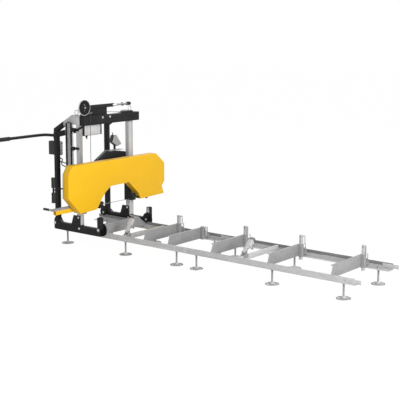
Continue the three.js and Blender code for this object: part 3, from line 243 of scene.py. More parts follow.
def cast_iron(name, colour, roughness, metallic):
    """Cast or turned iron: grain over soft clouds."""
    s = Shader(name, Metallic=metallic, Specular_IOR_Level=0.2)
    cloud = s.noise(12, 4)
    grain = s.noise(420, 3)
    s.vary("Base Color", s.mix(cloud, shade(colour, 0.75), shade(colour, 1.25)))
    s.vary("Roughness", (roughness + grain * 0.15 - 0.07).clamp(0.1, 0.95))
    s.bump(grain + cloud * 0.5, 0.22, 0.0007)
    return s.material


def soft_grip(name, colour):
    """Moulded rubber or plastic: fine leathery grain and a dull sheen."""
    s = Shader(name)
    worn = s.noise(25, 4)
    s.vary("Base Color", s.mix(worn, colour, dusty(colour)))
    s.vary("Roughness", (0.58 + worn * 0.25).clamp(0.3, 0.95))
    s.bump(s.crystals(600) + s.noise(900, 2), 0.2, 0.0005)
    return s.material


def milky_tank(name, colour, water_line=1.325):
    """Blown plastic: cloudy, with a darker wet part under the water line."""
    s = Shader(name, Subsurface_Weight=0.25, Subsurface_Radius=(0.01, 0.01, 0.009))
    height = s.add("ShaderNodeSeparateXYZ", {"Vector": s.coordinates()}, output="Z")
    cloud = s.noise(18, 4)
    wet = water_line - (height + cloud * 0.012) > 0.0
    dry = s.mix(cloud, shade(colour, 0.94), shade(colour, 1.04))
    s.vary("Base Color", s.mix(wet * 0.45, dry, shade(colour, 0.8)))
    s.vary("Roughness", (0.36 + cloud * 0.14).clamp(0.2, 0.8))
    s.bump(s.noise(90, 3), 0.05, 0.0008)
    return s.material


def wire_rope(name, colour):
    """Twisted steel wire: slanting strands round the rope."""
    s = Shader(name, Metallic=0.75)
    sockets = {"Vector": s.coordinates(), "Scale": 110.0, "Distortion": 3.0, "Detail": 1.0}
    strands = s.add("ShaderNodeTexWave", sockets, output=1, wave_type="BANDS", bands_direction="Z")
    # The grooves between the strands, where the bump is low, are painted darker: painted shade
    s.vary("Base Color", s.mix(strands, shade(colour, 0.45), colour))
    s.vary("Roughness", 0.34 + strands * 0.2)
    s.bump(strands, 0.6, 0.0008)
    return s.material


def length(name, description, default):
    return bpy.props.FloatProperty(name=name, description=description, default=default, unit="LENGTH")


def paint(name, description, *default):
    """A colour setting, given as it looks on a screen."""
    return bpy.props.FloatVectorProperty(
        name=name, description=description, subtype="COLOR", default=linear(*default)
    )


class SawmillLook(bpy.types.PropertyGroup):
    """Sizes and colours of the sawmill that a user would change."""

    edge_round: length("Edge round", "Rounding of long tube and plate edges", 0.0028)
    cover_round: length("Cover round", "Rounding of the blade cover's pressed edges", 0.007)
    thread_pitch: length("Thread pitch", "Pitch of the levelling screws' thread", 0.004)
    tooth_pitch: length("Tooth pitch", "Distance from tooth to tooth on the blade", 0.022)
    yellow: paint("Yellow", "Paint of the blade cover and guide arm", 0.945, 0.735, 0.06)
    black: paint("Black", "Powder coat of the carriage and head", 0.15, 0.15, 0.153)
    zinc: paint("Zinc", "Galvanised rails and feet", 0.8, 0.8, 0.805)
    bunk_zinc: paint("Bunk zinc", "Galvanised bunks and clamp sliders", 0.63, 0.63, 0.635)
    mast: paint("Mast grey", "Paint of the two masts", 0.84, 0.84, 0.84)


finishes = {}


def mix_finishes(look):
    """Makes every finish once, from the colours of the panel."""
    yellow, black, zinc = tuple(look.yellow), tuple(look.black), tuple(look.zinc)
    finishes.update(
        zinc=zinc_plate("zinc rail", zinc, 0.3, 0.45, 0.12),
        # Zinc darkened to 0.42 as painted shade: used on the upper part of the far rail's inner web and on
        # the clamp screws
        inner_zinc=zinc_plate("zinc painted shade", shade(zinc, 0.42), 0.3, 0.5, 0.1),
        dull_zinc=zinc_plate("zinc bunk", tuple(look.bunk_zinc), 0.35, 0.5, 0.15),
        mast=zinc_plate("mast paint", tuple(look.mast), 0.1, 0.5, 0.05),
        clamp=zinc_plate("clamp silver", shade(zinc, 1.1), 0.15, 0.5, 0.05),
        plated=bright_metal("plated bolt", linear(0.88, 0.88, 0.885), 0.3, (1, 1, 1)),
        chrome=bright_metal("chrome rod", linear(0.72, 0.72, 0.73), 0.22, (1, 0.1, 1)),
        blade=bright_metal("blade steel", linear(0.78, 0.79, 0.8), 0.3, (4, 0.2, 1)),
        bare=bright_metal("machined block", linear(0.72, 0.73, 0.74), 0.32, (1, 0.2, 1)),
        yellow=gloss_paint("yellow cover paint", yellow, 0.42, 0.06),
        black=black_coat("black powder coat", black, 0.42),
        engine=cast_iron("engine black", linear(0.12, 0.12, 0.123), 0.6, 0.0),
        lit_black=gloss_paint("engine shroud", linear(0.12, 0.12, 0.125), 0.3, 0.2),
        alloy=cast_iron("cast alloy", linear(0.72, 0.72, 0.72), 0.42, 0.6),
        wheel=cast_iron("turned iron", linear(0.6, 0.6, 0.61), 0.38, 0.7),
        dark_wheel=cast_iron("black wheel", linear(0.1, 0.1, 0.1), 0.42, 0.1),
        rubber=soft_grip("black rubber", linear(0.1, 0.1, 0.1)),
        box=soft_grip("box dark plastic", linear(0.2, 0.2, 0.2)),
        panel=gloss_paint("box panel grey", linear(0.86, 0.86, 0.86), 0.45, 0.0),
        tank=milky_tank("tank plastic", linear(0.83, 0.83, 0.835)),
        rope=wire_rope("wire rope", linear(0.36, 0.36, 0.36)),
        cowl=gloss_paint("air cleaner grey", linear(0.66, 0.66, 0.66), 0.4, 0.1),
        lead=soft_grip("lead sheath", linear(0.08, 0.08, 0.08)),
    )


# Mesh helpers
def hand_over(bm, name, body, finish, replaced=(), smooth=35):
    """Turns a bmesh into a finished piece that rides on its body."""
    mesh = bpy.data.meshes.new(name)
    bm.normal_update()
    bm.to_mesh(mesh)
    bm.free()
    for item in (finish,) if isinstance(finish, str) else finish:
        mesh.materials.append(finishes[item])
    mesh.polygons.foreach_set("use_smooth", [True] * len(mesh.polygons))
    mesh.set_sharp_from_angle(angle=math.radians(smooth))
    piece = bpy.data.objects.new(name, mesh)
    bpy.context.scene.collection.objects.link(piece)
    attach(piece, body)
    if replaced:
        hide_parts(*replaced)
    return piece


def round_edges(bm, edges, width, segments):
    bmesh.ops.bevel(
        bm,
        geom=edges,
        offset=width,
        offset_type="OFFSET",
        segments=segments,
        profile=0.5,
        affect="EDGES",
        clamp_overlap=True,
        material=-1,
    )


def face_width(face, edge):
    return face.calc_area() / max(edge.calc_length(), 1e-9)


def sharp_edges(bm, width, shortest, limit=math.radians(40)):
    """Outer edges that turn by more than limit, long enough and with room beside them for the round."""
    chosen = []
    for edge in bm.edges:
        if len(edge.link_faces) != 2 or edge.calc_length() < shortest:
            continue
        if edge.calc_face_angle(0.0) < limit or not edge.is_convex:
            continue
        if min(face_width(face, edge) for face in edge.link_faces) > 2.6 * width:
            chosen.append(edge)
    return chosen


def merged_copy(name, same_point=2e-5, same_plane=math.radians(0.6)):
    """A CAD node's mesh with its loose triangles joined into whole faces."""
    bm = bmesh.new()
    bm.from_mesh(nodes[name].data)
    bmesh.ops.remove_doubles(bm, verts=bm.verts[:], dist=same_point)
    bmesh.ops.dissolve_limit(
        bm, angle_limit=same_plane, verts=bm.verts[:], edges=bm.edges[:], delimit={"NORMAL"}
    )
    return bm


def inside(point, low, high, slack=1e-5):
    return all(low[i] - slack <= point[i] <= high[i] + slack for i in range(3))


def dress(name, finish, round_by=None, shortest=0.04, zones=(), seams=()):
    """A merged copy of a CAD node with rounded long edges.

    Zones are (low, high, finish) boxes whose faces get another finish. Seams are (point, normal)
    planes that part its faces first. Both are given in millimetres on the carriage.
    """
    if round_by is None:
        round_by = bpy.context.scene.sawmill_look.edge_round
    bm = merged_copy(name)
    edges = sharp_edges(bm, round_by, shortest)
    if edges:
        round_edges(bm, edges, round_by, 3)
    for point, normal in seams:
        everything = bm.verts[:] + bm.edges[:] + bm.faces[:]
        place = on_carriage(*point)
        bmesh.ops.bisect_plane(bm, geom=everything, dist=1e-6, plane_co=place, plane_no=normal)
    names = [finish]
    for low, high, other in zones:
        low, high = on_carriage(*low), on_carriage(*high)
        if other not in names:
            names.append(other)
        for face in bm.faces:
            if inside(face.calc_center_median(), low, high):
                face.material_index = names.index(other)
    return hand_over(bm, name + "_dressed", nodes[name]["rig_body"], names, (name,))


def around(centre, reach, finish="plated"):
    """The zone that reaches so far from a point along each axis."""
    low = [c - r for c, r in zip(centre, reach)]
    high = [c + r for c, r in zip(centre, reach)]
    return low, high, finish


def lathe(bm, profile, centre, axis, steps):
    """Spins (radius, height) points in millimetres round an axis, and closes the poles."""
    axis = Vector(axis).normalized()
    side = axis.orthogonal().normalized()
    points = [bm.verts.new(centre + side * (r / 1000) + axis * (h / 1000)) for r, h in profile]
    chain = [bm.edges.new(pair) for pair in zip(points, points[1:])]
    bmesh.ops.spin(
        bm, geom=points + chain, cent=centre, axis=axis, angle=math.tau, steps=steps, use_merge=True
    )
    bmesh.ops.remove_doubles(bm, verts=bm.verts[:], dist=1e-6)
    bmesh.ops.recalc_face_normals(bm, faces=bm.faces[:])


def lathed(profile, centre, axis, steps):
    bm = bmesh.new()
    lathe(bm, profile, centre, axis, steps)
    return bm


def join_in(bm, other):
    """Adds another bmesh to this one."""
    mesh = bpy.data.meshes.new("joining")
    other.to_mesh(mesh)
    other.free()
    bm.from_mesh(mesh)
    bpy.data.meshes.remove(mesh)


def rounded_block(low, high, round_by, segments=2):
    """A block between two corners in metres, with all its edges rounded by millimetres."""
    bm = bmesh.new()
    matrix = Matrix.Translation((low + high) / 2) @ Matrix.Diagonal((*(high - low), 1))
    bmesh.ops.create_cube(bm, size=1, matrix=matrix)
    if round_by:
        round_edges(bm, bm.edges[:], round_by / 1000, segments)
    return bm


def block(low, high, round_by, segments=2):
    """A rounded block between two places on the carriage."""
    return rounded_block(on_carriage(*low), on_carriage(*high), round_by, segments)


def block_row(low, high, step, count, round_by):
    """Equal blocks side by side, as one bmesh."""
    bm = bmesh.new()
    for i in range(count):
        shift = Vector(step) * i
        join_in(bm, block(Vector(low) + shift, Vector(high) + shift, round_by))
    return bm


def hex_bolts(places, axis, head, rise):
    """One bmesh of bolts with washers, their heads turned along axis."""
    bm = bmesh.new()
    washer = [(0, 0), (head * 1.35, 0), (head * 1.35, 1.4), (head * 1.1, 1.9), (0, 1.9)]
    cap = [(0, 1.5), (head, 1.5), (head, rise - 1), (head * 0.86, rise), (0, rise)]
    for place in places:
        join_in(bm, lathed(washer, place, axis, 24))
        join_in(bm, lathed(cap, place, axis, 6))
    return bm


def ribbed(radius, start, end, pitch, groove):
    """Profile of a grip with rounded ends and rings along it."""
    floor = radius - groove
    points = [(0, start), (radius * 0.7, start), (radius - 0.5, start + 2)]
    h = start + 5
    while h < end - 6:
        points += [(radius, h), (radius, h + pitch * 0.55)]
        points += [(floor, h + pitch * 0.7), (floor, h + pitch * 0.9)]
        h += pitch
    return points + [(radius, end - 4), (radius * 0.75, end), (0, end)]


def paint_rim(bm, centre, radius):
    """Gives the faces of a wheel that lie further out than radius, in millimetres, its second finish."""
    for face in bm.faces:
        offset = face.calc_center_median() - centre
        if math.hypot(offset.y, offset.z) * 1000 > radius:
            face.material_index = 1


def smooth_route(points, count):
    """Points on a smooth curve through the given ones."""
    ends = [points[0] * 2 - points[1], *points, points[-1] * 2 - points[-2]]
    made = []
    spans = len(points) - 1
    for i in range(count + 1):
        place = spans * i / count
        k = min(int(place), spans - 1)
        t = place - k
        a, b, c, d = ends[k : k + 4]
        bend = (a * 2 - b * 5 + c * 4 - d) * t**2 + (b * 3 - a - c * 3 + d) * t**3
        made.append((b * 2 + (c - a) * t + bend) / 2)
    return made


# Operators, one for each piece or group of like pieces
class SAWMILL_OT_stage(bpy.types.Operator):
    """Add the pale floor, the studio light and the camera"""

    bl_idname = "sawmill.stage"
    bl_label = "Stage and camera"

    floor_reach = 40
    floor_glow = 1.04
    glow_share = 0.93
    sky_on_object = 0.4
    sky_seen = 1.0
    # Each lamp's energy, size, place and target
    lamps = {
        "key": (760.0, 3.5, (8.5, -3.2, 3.9), (-1.0, 0.3, 0.7)),
        "fill": (60.0, 5.0, (-1.0, -8.0, 3.5), (-0.8, 0.2, 0.6)),
        "back": (140.0, 4.0, (-4.0, 6.5, 5.5), (-0.8, 0.2, 0.8)),
    }
    camera_place = (6.4147, -7.9335, 2.5719)
    camera_turn = (90 - 8.1256, 0, 38.8258)
    focal_length = 88.663
    lens_shift = -0.1

    def execute(self, context):
        scene = context.scene
        scene.view_settings.view_transform = "Standard"
        self.lay_floor(scene)
        scene.world = bpy.data.worlds.new("studio")
        scene.world.use_nodes = True
        self.light_world(scene.world.node_tree)
        for name, (energy, size, place, target) in self.lamps.items():
            lamp = bpy.data.lights.new(name, "AREA")
            lamp.energy = energy
            lamp.size = size
            holder = bpy.data.objects.new(name, lamp)
            holder.location = place
            holder.rotation_euler = (Vector(target) - Vector(place)).to_track_quat("-Z", "Y").to_euler()
            scene.collection.objects.link(holder)
        lens = bpy.data.cameras.new("photo camera")
        lens.lens = self.focal_length
        lens.sensor_width = 36.0
        lens.shift_y = self.lens_shift
        lens.clip_end = 100
        camera = bpy.data.objects.new("photo camera", lens)
        camera.location = self.camera_place
        camera.rotation_euler = [math.radians(angle) for angle in self.camera_turn]
        scene.collection.objects.link(camera)
        scene.camera = camera
        return {"FINISHED"}

    def lay_floor(self, scene):
        bm = bmesh.new()
        bmesh.ops.create_grid(bm, x_segments=8, y_segments=8, size=self.floor_reach)
        mesh = bpy.data.meshes.new("floor")
        bm.to_mesh(mesh)
        bm.free()
        floor = bpy.data.objects.new("floor", mesh)
        scene.collection.objects.link(floor)
        s = Shader("pale floor", Roughness=0.9)
        s.vary("Base Color", s.mix(s.noise(0.6, 2), (0.82, 0.82, 0.82), (0.86, 0.86, 0.86)))
        mesh.materials.append(s.material)
        self.whiten(s)

    def whiten(self, s):
        """The camera sees the lit floor brightened to white, with the object's shadow kept."""
        seen = s.add("ShaderNodeLightPath", output="Is Camera Ray") * self.glow_share
        glow = s.add("ShaderNodeEmission", {"Color": (1, 1, 1), "Strength": self.floor_glow})
        lit = Value(s, s.surface.outputs[0])
        s.set(s.nodes["Material Output"], "Surface", s.add("ShaderNodeMixShader", {0: seen, 1: lit, 2: glow}))

    def light_world(self, tree):
        """Soft light on the object, and white where the camera, metal or glass sees past it."""
        path = tree.nodes.new("ShaderNodeLightPath")
        seen = path.outputs["Is Camera Ray"]
        for ray in ("Is Glossy Ray", "Is Transmission Ray"):
            either = tree.nodes.new("ShaderNodeMath")
            either.operation = "MAXIMUM"
            tree.links.new(seen, either.inputs[0])
            tree.links.new(path.outputs[ray], either.inputs[1])
            seen = either.outputs[0]
        strength = tree.nodes.new("ShaderNodeMix")
        strength.inputs[2].default_value = self.sky_on_object
        strength.inputs[3].default_value = self.sky_seen
        tree.links.new(seen, strength.inputs[0])
        background = tree.nodes["Background"]
        background.inputs["Color"].default_value = (1, 1, 1, 1)
        tree.links.new(strength.outputs[0], background.inputs["Strength"])


class SAWMILL_OT_rails(bpy.types.Operator):
    """Add the four track rails with their splice plates and bolts"""

    bl_idname = "sawmill.rails"
    bl_label = "Track rails"

    bolts_along = (1468, 1580, 3429, 3499)
    bolt_line = 375.5
    bolt_level = -29.5
    bolt_reach = (10, 2.6, 10)
    # The far rail's inner web above the seam gets the darkened zinc, as painted shade
    far_web_shade = ((-566, 366.9, -37), (3614, 368, -0.4), "inner_zinc")
    far_shade_seam = ((0, 0, -34), UP)

    def execute(self, context):
        for side, way in SIDES:
            heads = [(x, way * self.bolt_line, self.bolt_level) for x in self.bolts_along]
            zones = [around(head, self.bolt_reach) for head in heads]
            seams = []
            if side == "far":
                zones.append(self.far_web_shade)
                seams.append(self.far_shade_seam)
            for half in ("rear", "front"):
                name = f"{side}_rail_{half}"
                dress(name, "zinc", round_by=0.0016, shortest=0.06, zones=zones, seams=seams)
        return {"FINISHED"}


class SAWMILL_OT_bunks(bpy.types.Operator):
    """Add the six log bunks with their sleeves and locking screws"""

    bl_idname = "sawmill.bunks"
    bl_label = "Log bunks"

    def execute(self, context):
        for i in range(1, 7):
            dress(f"bunk_{i}", "dull_zinc", round_by=0.002)
        return {"FINISHED"}


class SAWMILL_OT_stops(bpy.types.Operator):
    """Add the five log stops"""

    bl_idname = "sawmill.stops"
    bl_label = "Log stops"

    def execute(self, context):
        for i in range(2, 7):
            dress(f"log_stop_{i}", "zinc", round_by=0.002)
        return {"FINISHED"}


class SAWMILL_OT_clamps(bpy.types.Operator):
    """Add the two log clamps: bar, slider and tilting screw arm"""

    bl_idname = "sawmill.clamps"
    bl_label = "Log clamps"

    tilts = (57, 37)
    pivot_height = 0.2398
    # Places on the untilted arm, from its pivot
    screw_start = Vector((0, 0.156, 0.008))
    knob_place = Vector((0.078, 0.052, 0.016))
    thread_length = 25
    thread_pitch = 3
    root = 8.2
    crest = 9.6
    knob = [(0, -9), (7, -9), (8.5, -6), (8.5, 2), (6, 5), (0, 5)]

    def execute(self, context):
        for i, tilt in enumerate(self.tilts, 1):
            dress(f"clamp_bar_{i}", "clamp", round_by=0.002)
            dress(f"clamp_slider_{i}", "dull_zinc", round_by=0.0015, shortest=0.02)
            dress(f"clamp_arm_{i}", "clamp", round_by=0.002, shortest=0.02)
            self.screw(i, Matrix.Rotation(math.radians(tilt), 3, "X"))
        return {"FINISHED"}

    def screw(self, i, turn):
        """Thread on the clamp's screw, and its cross bar's knobs."""
        arm = f"clamp_arm_{i}"
        pivot = middle(f"clamp_slider_{i}")
        pivot.z = self.pivot_height
        h = 0.5
        thread = [(0, h)]
        while h < self.thread_length:
            top = h + self.thread_pitch
            thread += [(self.root, h), (self.crest, (h + top) / 2), (self.root, top)]
            h = top
        thread += [(self.root, h), (0, h)]
        bm = lathed(thread, pivot + turn @ self.screw_start, turn @ Vector(ACROSS), 20)
        # The thread takes the zinc darkened as painted shade; the knobs below take the same zinc
        hand_over(bm, f"clamp_thread_{i}", arm, "inner_zinc", smooth=25)
        knobs = bmesh.new()
        for way in (-1, 1):
            place = Vector((way * self.knob_place.x, *self.knob_place.yz))
            lathe(knobs, self.knob, pivot + turn @ place, (way, 0, 0), 20)
        hand_over(knobs, f"clamp_knobs_{i}", arm, "inner_zinc")


class SAWMILL_OT_feet(bpy.types.Operator):
    """Add the twelve levelling feet: pressed disc and threaded rod"""

    bl_idname = "sawmill.feet"
    bl_label = "Levelling feet"

    dish = [(0, 0), (66, 0), (70.5, 1), (71, 4), (69, 7), (65, 8), (61, 7), (57, 4.5), (40, 4), (34, 6)]
    dome = [(30, 10.5), (25, 14.5), (20, 18), (16, 21.5), (14, 24), (11.5, 26), (9.2, 28)]
    top = [(8.6, 179), (6.4, 183), (0, 183)]
    rod_start = 30.0
    rod_end = 176
    root = 8.9
    crest = 10
    # Heights in metres with the duller zinc: the disc's rim, and the rod
    rim_low, rim_high = 0.0043, 0.009
    rod_low = 0.0285

    def execute(self, context):
        pitch = context.scene.sawmill_look.thread_pitch * 1000
        rod = []
        h = self.rod_start
        while h < self.rod_end:
            rod += [(self.crest, h), (self.crest, h + pitch * 0.25)]
            rod += [(self.root, h + pitch * 0.5), (self.root, h + pitch * 0.7)]
            h += pitch
        profile = self.dish + self.dome + rod + self.top
        for side in ("near", "far"):
            for i in range(1, 7):
                self.foot(f"foot_{side}_{i}", profile)
        return {"FINISHED"}

    def foot(self, name, profile):
        centre = middle(name)
        centre.z = 0
        bm = lathed(profile, centre, UP, 28)
        for face in bm.faces:
            height = face.calc_center_median().z
            if height > self.rod_low or self.rim_low < height < self.rim_high:
                face.material_index = 1
        hand_over(bm, name + "_screw", name, ("zinc", "dull_zinc"), (name,), 50)


class SAWMILL_OT_side_frames(bpy.types.Operator):
    """Add the carriage's two side frames with bright bolts"""

    bl_idname = "sawmill.side_frames"
    bl_label = "Side frames"

    # How far before the frame's line the faces under the two shoe bolts lie, and their heights
    upper_face = {"near": 31.3, "far": 41.3}
    lower_face = 25
    upper_level = 134
    lower_level = 8
    head_rise = 7
    head_reach = (15, 4.2, 15)
    # Distances across of the axles' outer heads, inner heads and nuts
    axle_heads = (436, 354)
    nut_line = 439.8
    knob = (308, -34, 118)
    knob_reach = (12, 9, 12)

    def execute(self, context):
        for side, way in SIDES:
            line = way * SIDE_LINE
            upper, lower = line - self.upper_face[side], line - self.lower_face
            faces = [(upper, self.upper_level), (lower, self.lower_level)]
            heads = [(0, y - self.head_rise / 2, z) for y, z in faces]
            heads += [(x, way * y, AXLE_LEVEL) for y in self.axle_heads for x in AXLES]
            zones = [around(head, self.head_reach) for head in heads]
            x, y, z = self.knob
            zones.append(around((x, line + y, z), self.knob_reach))
            dress(f"{side}_side_frame", "black", zones=zones)
            # The far frame's lower bolt is left plain
            shown = faces if side == "near" else faces[:1]
            caps = [on_carriage(0, y - self.head_rise, z) for y, z in shown]
            bolts = hex_bolts(caps, (0, -1, 0), 9, 5)
            hand_over(bolts, f"shoe_bolts_{side}", "carriage", "plated")
            ends = [on_carriage(x, way * self.nut_line, AXLE_LEVEL) for x in AXLES]
            nuts = hex_bolts(ends, (0, way, 0), 14, 8)
            hand_over(nuts, f"axle_bolts_{side}", "carriage", "plated")
        return {"FINISHED"}


class SAWMILL_OT_wheels(bpy.types.Operator):
    """Add the four grooved carriage wheels"""

    bl_idname = "sawmill.wheels"
    bl_label = "Carriage wheels"

    # Radius, and distance across from the carriage's middle
    tread = [(11, 358.2), (30, 358.2), (38, 358.6), (40, 360), (40, 361), (28.4, 366.6), (27.7, 367.2)]
    guard = [(27.7, 372.8), (28.4, 373.4), (38, 377.2), (70, 378.5), (75, 378.6), (76, 379.6), (76, 381)]
    face = [(75, 382), (66, 382.2), (64, 381.4), (40, 381.2), (34, 382.2), (11, 382.2), (11, 358.2)]

    def execute(self, context):
        for side, way in SIDES:
            for i, x in enumerate(AXLES, 1):
                name = f"carriage_wheel_{side}_{i}"
                centre = on_carriage(x, 0, AXLE_LEVEL)
                bm = lathed(self.tread + self.guard + self.face, centre, (0, way, 0), 64)
                hand_over(bm, name + "_turned", name, "dark_wheel", (name,), 30)
        return {"FINISHED"}


class SAWMILL_OT_masts(bpy.types.Operator):
    """Add the two masts with the near lifting eye"""

    bl_idname = "sawmill.masts"
    bl_label = "Masts"

    eye = (-40, -SIDE_LINE, 1321)
    eye_reach = (6, 31, 26)

    def execute(self, context):
        dress("near_mast", "mast", round_by=0.004, zones=[around(self.eye, self.eye_reach)])
        dress("far_mast", "mast", round_by=0.004)
        return {"FINISHED"}


class SAWMILL_OT_crossbeam(bpy.types.Operator):
    """Add the crossbeam with the winch plate, the tank's hanger and the far lifting eye"""

    bl_idname = "sawmill.crossbeam"
    bl_label = "Crossbeam"

    eye = (66.3, 349, 1325)
    eye_reach = (6, 31, 27)
    bolts = ((109, -142, 1255), (109, -23, 1255))
    bolt_reach = (8, 14, 14)
    winch_shaft = ((30, -444, 1372), (130, -420, 1397), "plated")
    fixed_cable = ((46, -20, 1284), (68, 219, 1309), "rope")

    def execute(self, context):
        zones = [around(self.eye, self.eye_reach)]
        zones += [around(bolt, self.bolt_reach) for bolt in self.bolts]
        dress("crossbeam", "black", zones=[*zones, self.winch_shaft, self.fixed_cable])
        bolts = hex_bolts([on_carriage(*bolt) for bolt in self.bolts], ALONG, 10, 7)
        hand_over(bolts, "beam_bolts", "carriage", "plated")
        return {"FINISHED"}


class SAWMILL_OT_winch(bpy.types.Operator):
    """Add the winch wheel, its lever, the pawl and the lift cable"""

    bl_idname = "sawmill.winch"
    bl_label = "Winch and cable"

    disc = [(11.2, -6), (80, -6), (88, -6), (88, -4.6), (85, -1.2), (85, 1.2), (88, 4.6), (88, 6), (82, 6.4)]
    dish = [(79, 5), (74, 3), (34, 3), (28, 5.4), (24, 6.4), (11.2, 6.4), (11.2, -6)]
    rim_from = 83.0
    studs = (Vector((0.003, 0, 0.029)), Vector((0.003, 0, -0.029)))
    lever_line = (85, 0, 1384)
    lever_zones = [
        ((60, 54.5, 1355), (110, 276, 1410), "chrome"),
        ((60, 276, 1355), (110, 340, 1410), "rubber"),
    ]
    cable_foot = (110, -341.2, 620)
    cable_top = 764
    # Start, end and radius of the two lengths, and the bore of the one that goes round the other
    upper = (64, cable_top, 2.9)
    lower = (0.3, 364, 3.15)
    lower_bore = 2.95

    def execute(self, context):
        self.wheel(middle("winch_wheel"))
        dress("lift_lever", "black", round_by=0.0025, shortest=0.03, zones=self.lever_zones)
        grip = ribbed(radius=20.5, start=276, end=332, pitch=7, groove=1.6)
        bm = lathed(grip, on_carriage(*self.lever_line), ACROSS, 28)
        hand_over(bm, "lever_grip", "lift_lever", "rubber")
        dress("winch_pawl", "chrome", round_by=0.0012, shortest=0.008)
        self.cable(on_carriage(*self.cable_foot))
        return {"FINISHED"}

    def wheel(self, centre):
        bm = lathed(self.disc + self.dish, centre, ALONG, 72)
        paint_rim(bm, centre, self.rim_from)
        finish = ("dark_wheel", "plated")
        hand_over(bm, "winch_wheel_turned", "winch_wheel", finish, ("winch_wheel",))
        studs = hex_bolts([centre + stud for stud in self.studs], ALONG, 5, 4)
        hand_over(studs, "winch_wheel_studs", "winch_wheel", "plated")

    def cable(self, foot):
        """Two overlapping lengths, so that the cable still reaches the head at every height."""
        side = self.cable_side(*self.upper)
        bm = lathed([(0, side[0][1]), *side, (0, side[-1][1])], foot, UP, 12)
        upper = hand_over(bm, "lift_cable_upper", "carriage", "rope", ("lift_cable",), 60)
        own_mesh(upper)
        tuple(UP)
        side = self.cable_side(*self.lower)
        start, end = (self.lower_bore, side[0][1]), (self.lower_bore, side[-1][1])
        bm = lathed([start, *side, end, start], foot, UP, 12)
        hand_over(bm, "lift_cable_lower", "head", "rope", smooth=60)

    def cable_side(self, low, high, radius, count=36):
        """Outside of a length of cable, in steps that let it flatten evenly."""
        return [(radius, low + (high - low) * i / count) for i in range(count + 1)]


class SAWMILL_OT_push_handle(bpy.types.Operator):
    """Add the push handle with its ribbed grip"""

    bl_idname = "sawmill.push_handle"
    bl_label = "Push handle"

    handle_end = (-560, -1096, 1036)

    def execute(self, context):
        dress("push_handle", "black", round_by=0.0015)
        grip = ribbed(radius=23.3, start=0, end=155, pitch=9, groove=1.8)
        bm = lathed(grip, on_carriage(*self.handle_end), ACROSS, 28)
        hand_over(bm, "push_grip", "carriage", "rubber")
        return {"FINISHED"}


class SAWMILL_OT_control_box(bpy.types.Operator):
    """Add the control box with its buttons, glands and two leads"""

    bl_idname = "sawmill.control_box"
    bl_label = "Control box"

    case = ((-536, -382.2, 806), (-362, -322.2, 963))
    seam = ((-537, -346, 804.8), (-361, -343, 964.2))
    panel = ((-362.6, -378, 811), (-360.8, -326, 958))
    button_line = (-360.8, -337)
    # Each button's height and finish
    buttons = {
        "stop_button": (940, "rubber"),
        "start_button": (905, "cowl"),
        "key_switch": (868, "plated"),
        "work_lamp": (834, "panel"),
    }
    collar = [(0, 0), (10.5, 0), (10.5, 2.5), (8, 3.2), (0, 3.2)]
    knob = [(0, 3), (7, 3), (7.6, 6), (7, 8.5), (4, 9.6), (0, 10)]
    gland = [(0, 0), (11, 0), (11, 8), (9, 10), (9, 16), (6.6, 24), (0, 24)]
    gland_top = 808
    lead_width = 0.012
    # From the box's underside to the back of the height scale
    routes = (
        ((-420, -352, 812), (-412, -352, 762), (-380, -356, 738))
        + ((-330, -380, 735), (-262, -430, 712), (-168, -458, 700)),
        ((-392, -352, 812), (-386, -352, 782), (-362, -352, 768))
        + ((-318, -372, 762), (-262, -430, 748), (-168, -458, 742)),
    )

    def execute(self, context):
        case = block(*self.case, 5, 3)
        hand_over(case, "control_box_case", "carriage", "box", ("control_box",))
        hand_over(block(*self.seam, 0.8), "control_box_seam", "carriage", "rubber")
        hand_over(block(*self.panel, 0.6), "control_box_panel", "carriage", "panel")
        for name, (level, finish) in self.buttons.items():
            centre = on_carriage(*self.button_line, level)
            hand_over(lathed(self.knob, centre, ALONG, 28), name, "carriage", finish)
            collar = lathed(self.collar, centre, ALONG, 28)
            hand_over(collar, name + "_collar", "carriage", "panel")
        for i, route in enumerate(self.routes, 1):
            gland = lathed(self.gland, on_carriage(*route[0][:2], self.gland_top), DOWN, 20)
            hand_over(gland, f"lead_gland_{i}", "carriage", "rubber")
            self.lead(f"control_lead_{i}", smooth_route([on_carriage(*point) for point in route], 24))
        return {"FINISHED"}

    def lead(self, name, points):
        curve = bpy.data.curves.new(name, "CURVE")
        curve.dimensions = "3D"
        curve.bevel_depth = self.lead_width / 2
        curve.bevel_resolution = 4
        spline = curve.splines.new("POLY")
        spline.points.add(len(points) - 1)
        for point, place in zip(spline.points, points):
            point.co = (*place, 1)
        curve.materials.append(finishes["lead"])
        lead = bpy.data.objects.new(name, curve)
        bpy.context.scene.collection.objects.link(lead)
        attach(lead, "carriage")
        tuple(points[0])
        sum((b - a).length for a, b in zip(points, points[1:]))


class SAWMILL_OT_height_scale(bpy.types.Operator):
    """Add the height scale with its marks"""

    bl_idname = "sawmill.height_scale"
    bl_label = "Height scale"

    faces = [
        ((-152.5, -472.5, 402), (-83.5, -441, 1199), "panel"),
        ((-68.5, -452.8, 399), (-50.5, -441.5, 1181), "panel"),
    ]
    # Two corners of the lowest mark, which is a long one
    first_mark = ((-68, -453.1, 439.2), (-56, -452.3, 440.8))
    mark_pitch = 10
    mark_count = 74
    shorter_by = 5

    def execute(self, context):
        dress("height_scale", "black", round_by=0.001, zones=self.faces)
        marks = bmesh.new()
        low, high = self.first_mark
        for i in range(self.mark_count):
            rise = i * self.mark_pitch
            end = high[0] - (self.shorter_by if i % 5 else 0)
            join_in(marks, block((*low[:2], low[2] + rise), (end, high[1], high[2] + rise), 0))
        hand_over(marks, "scale_marks", "carriage", "black")
        return {"FINISHED"}


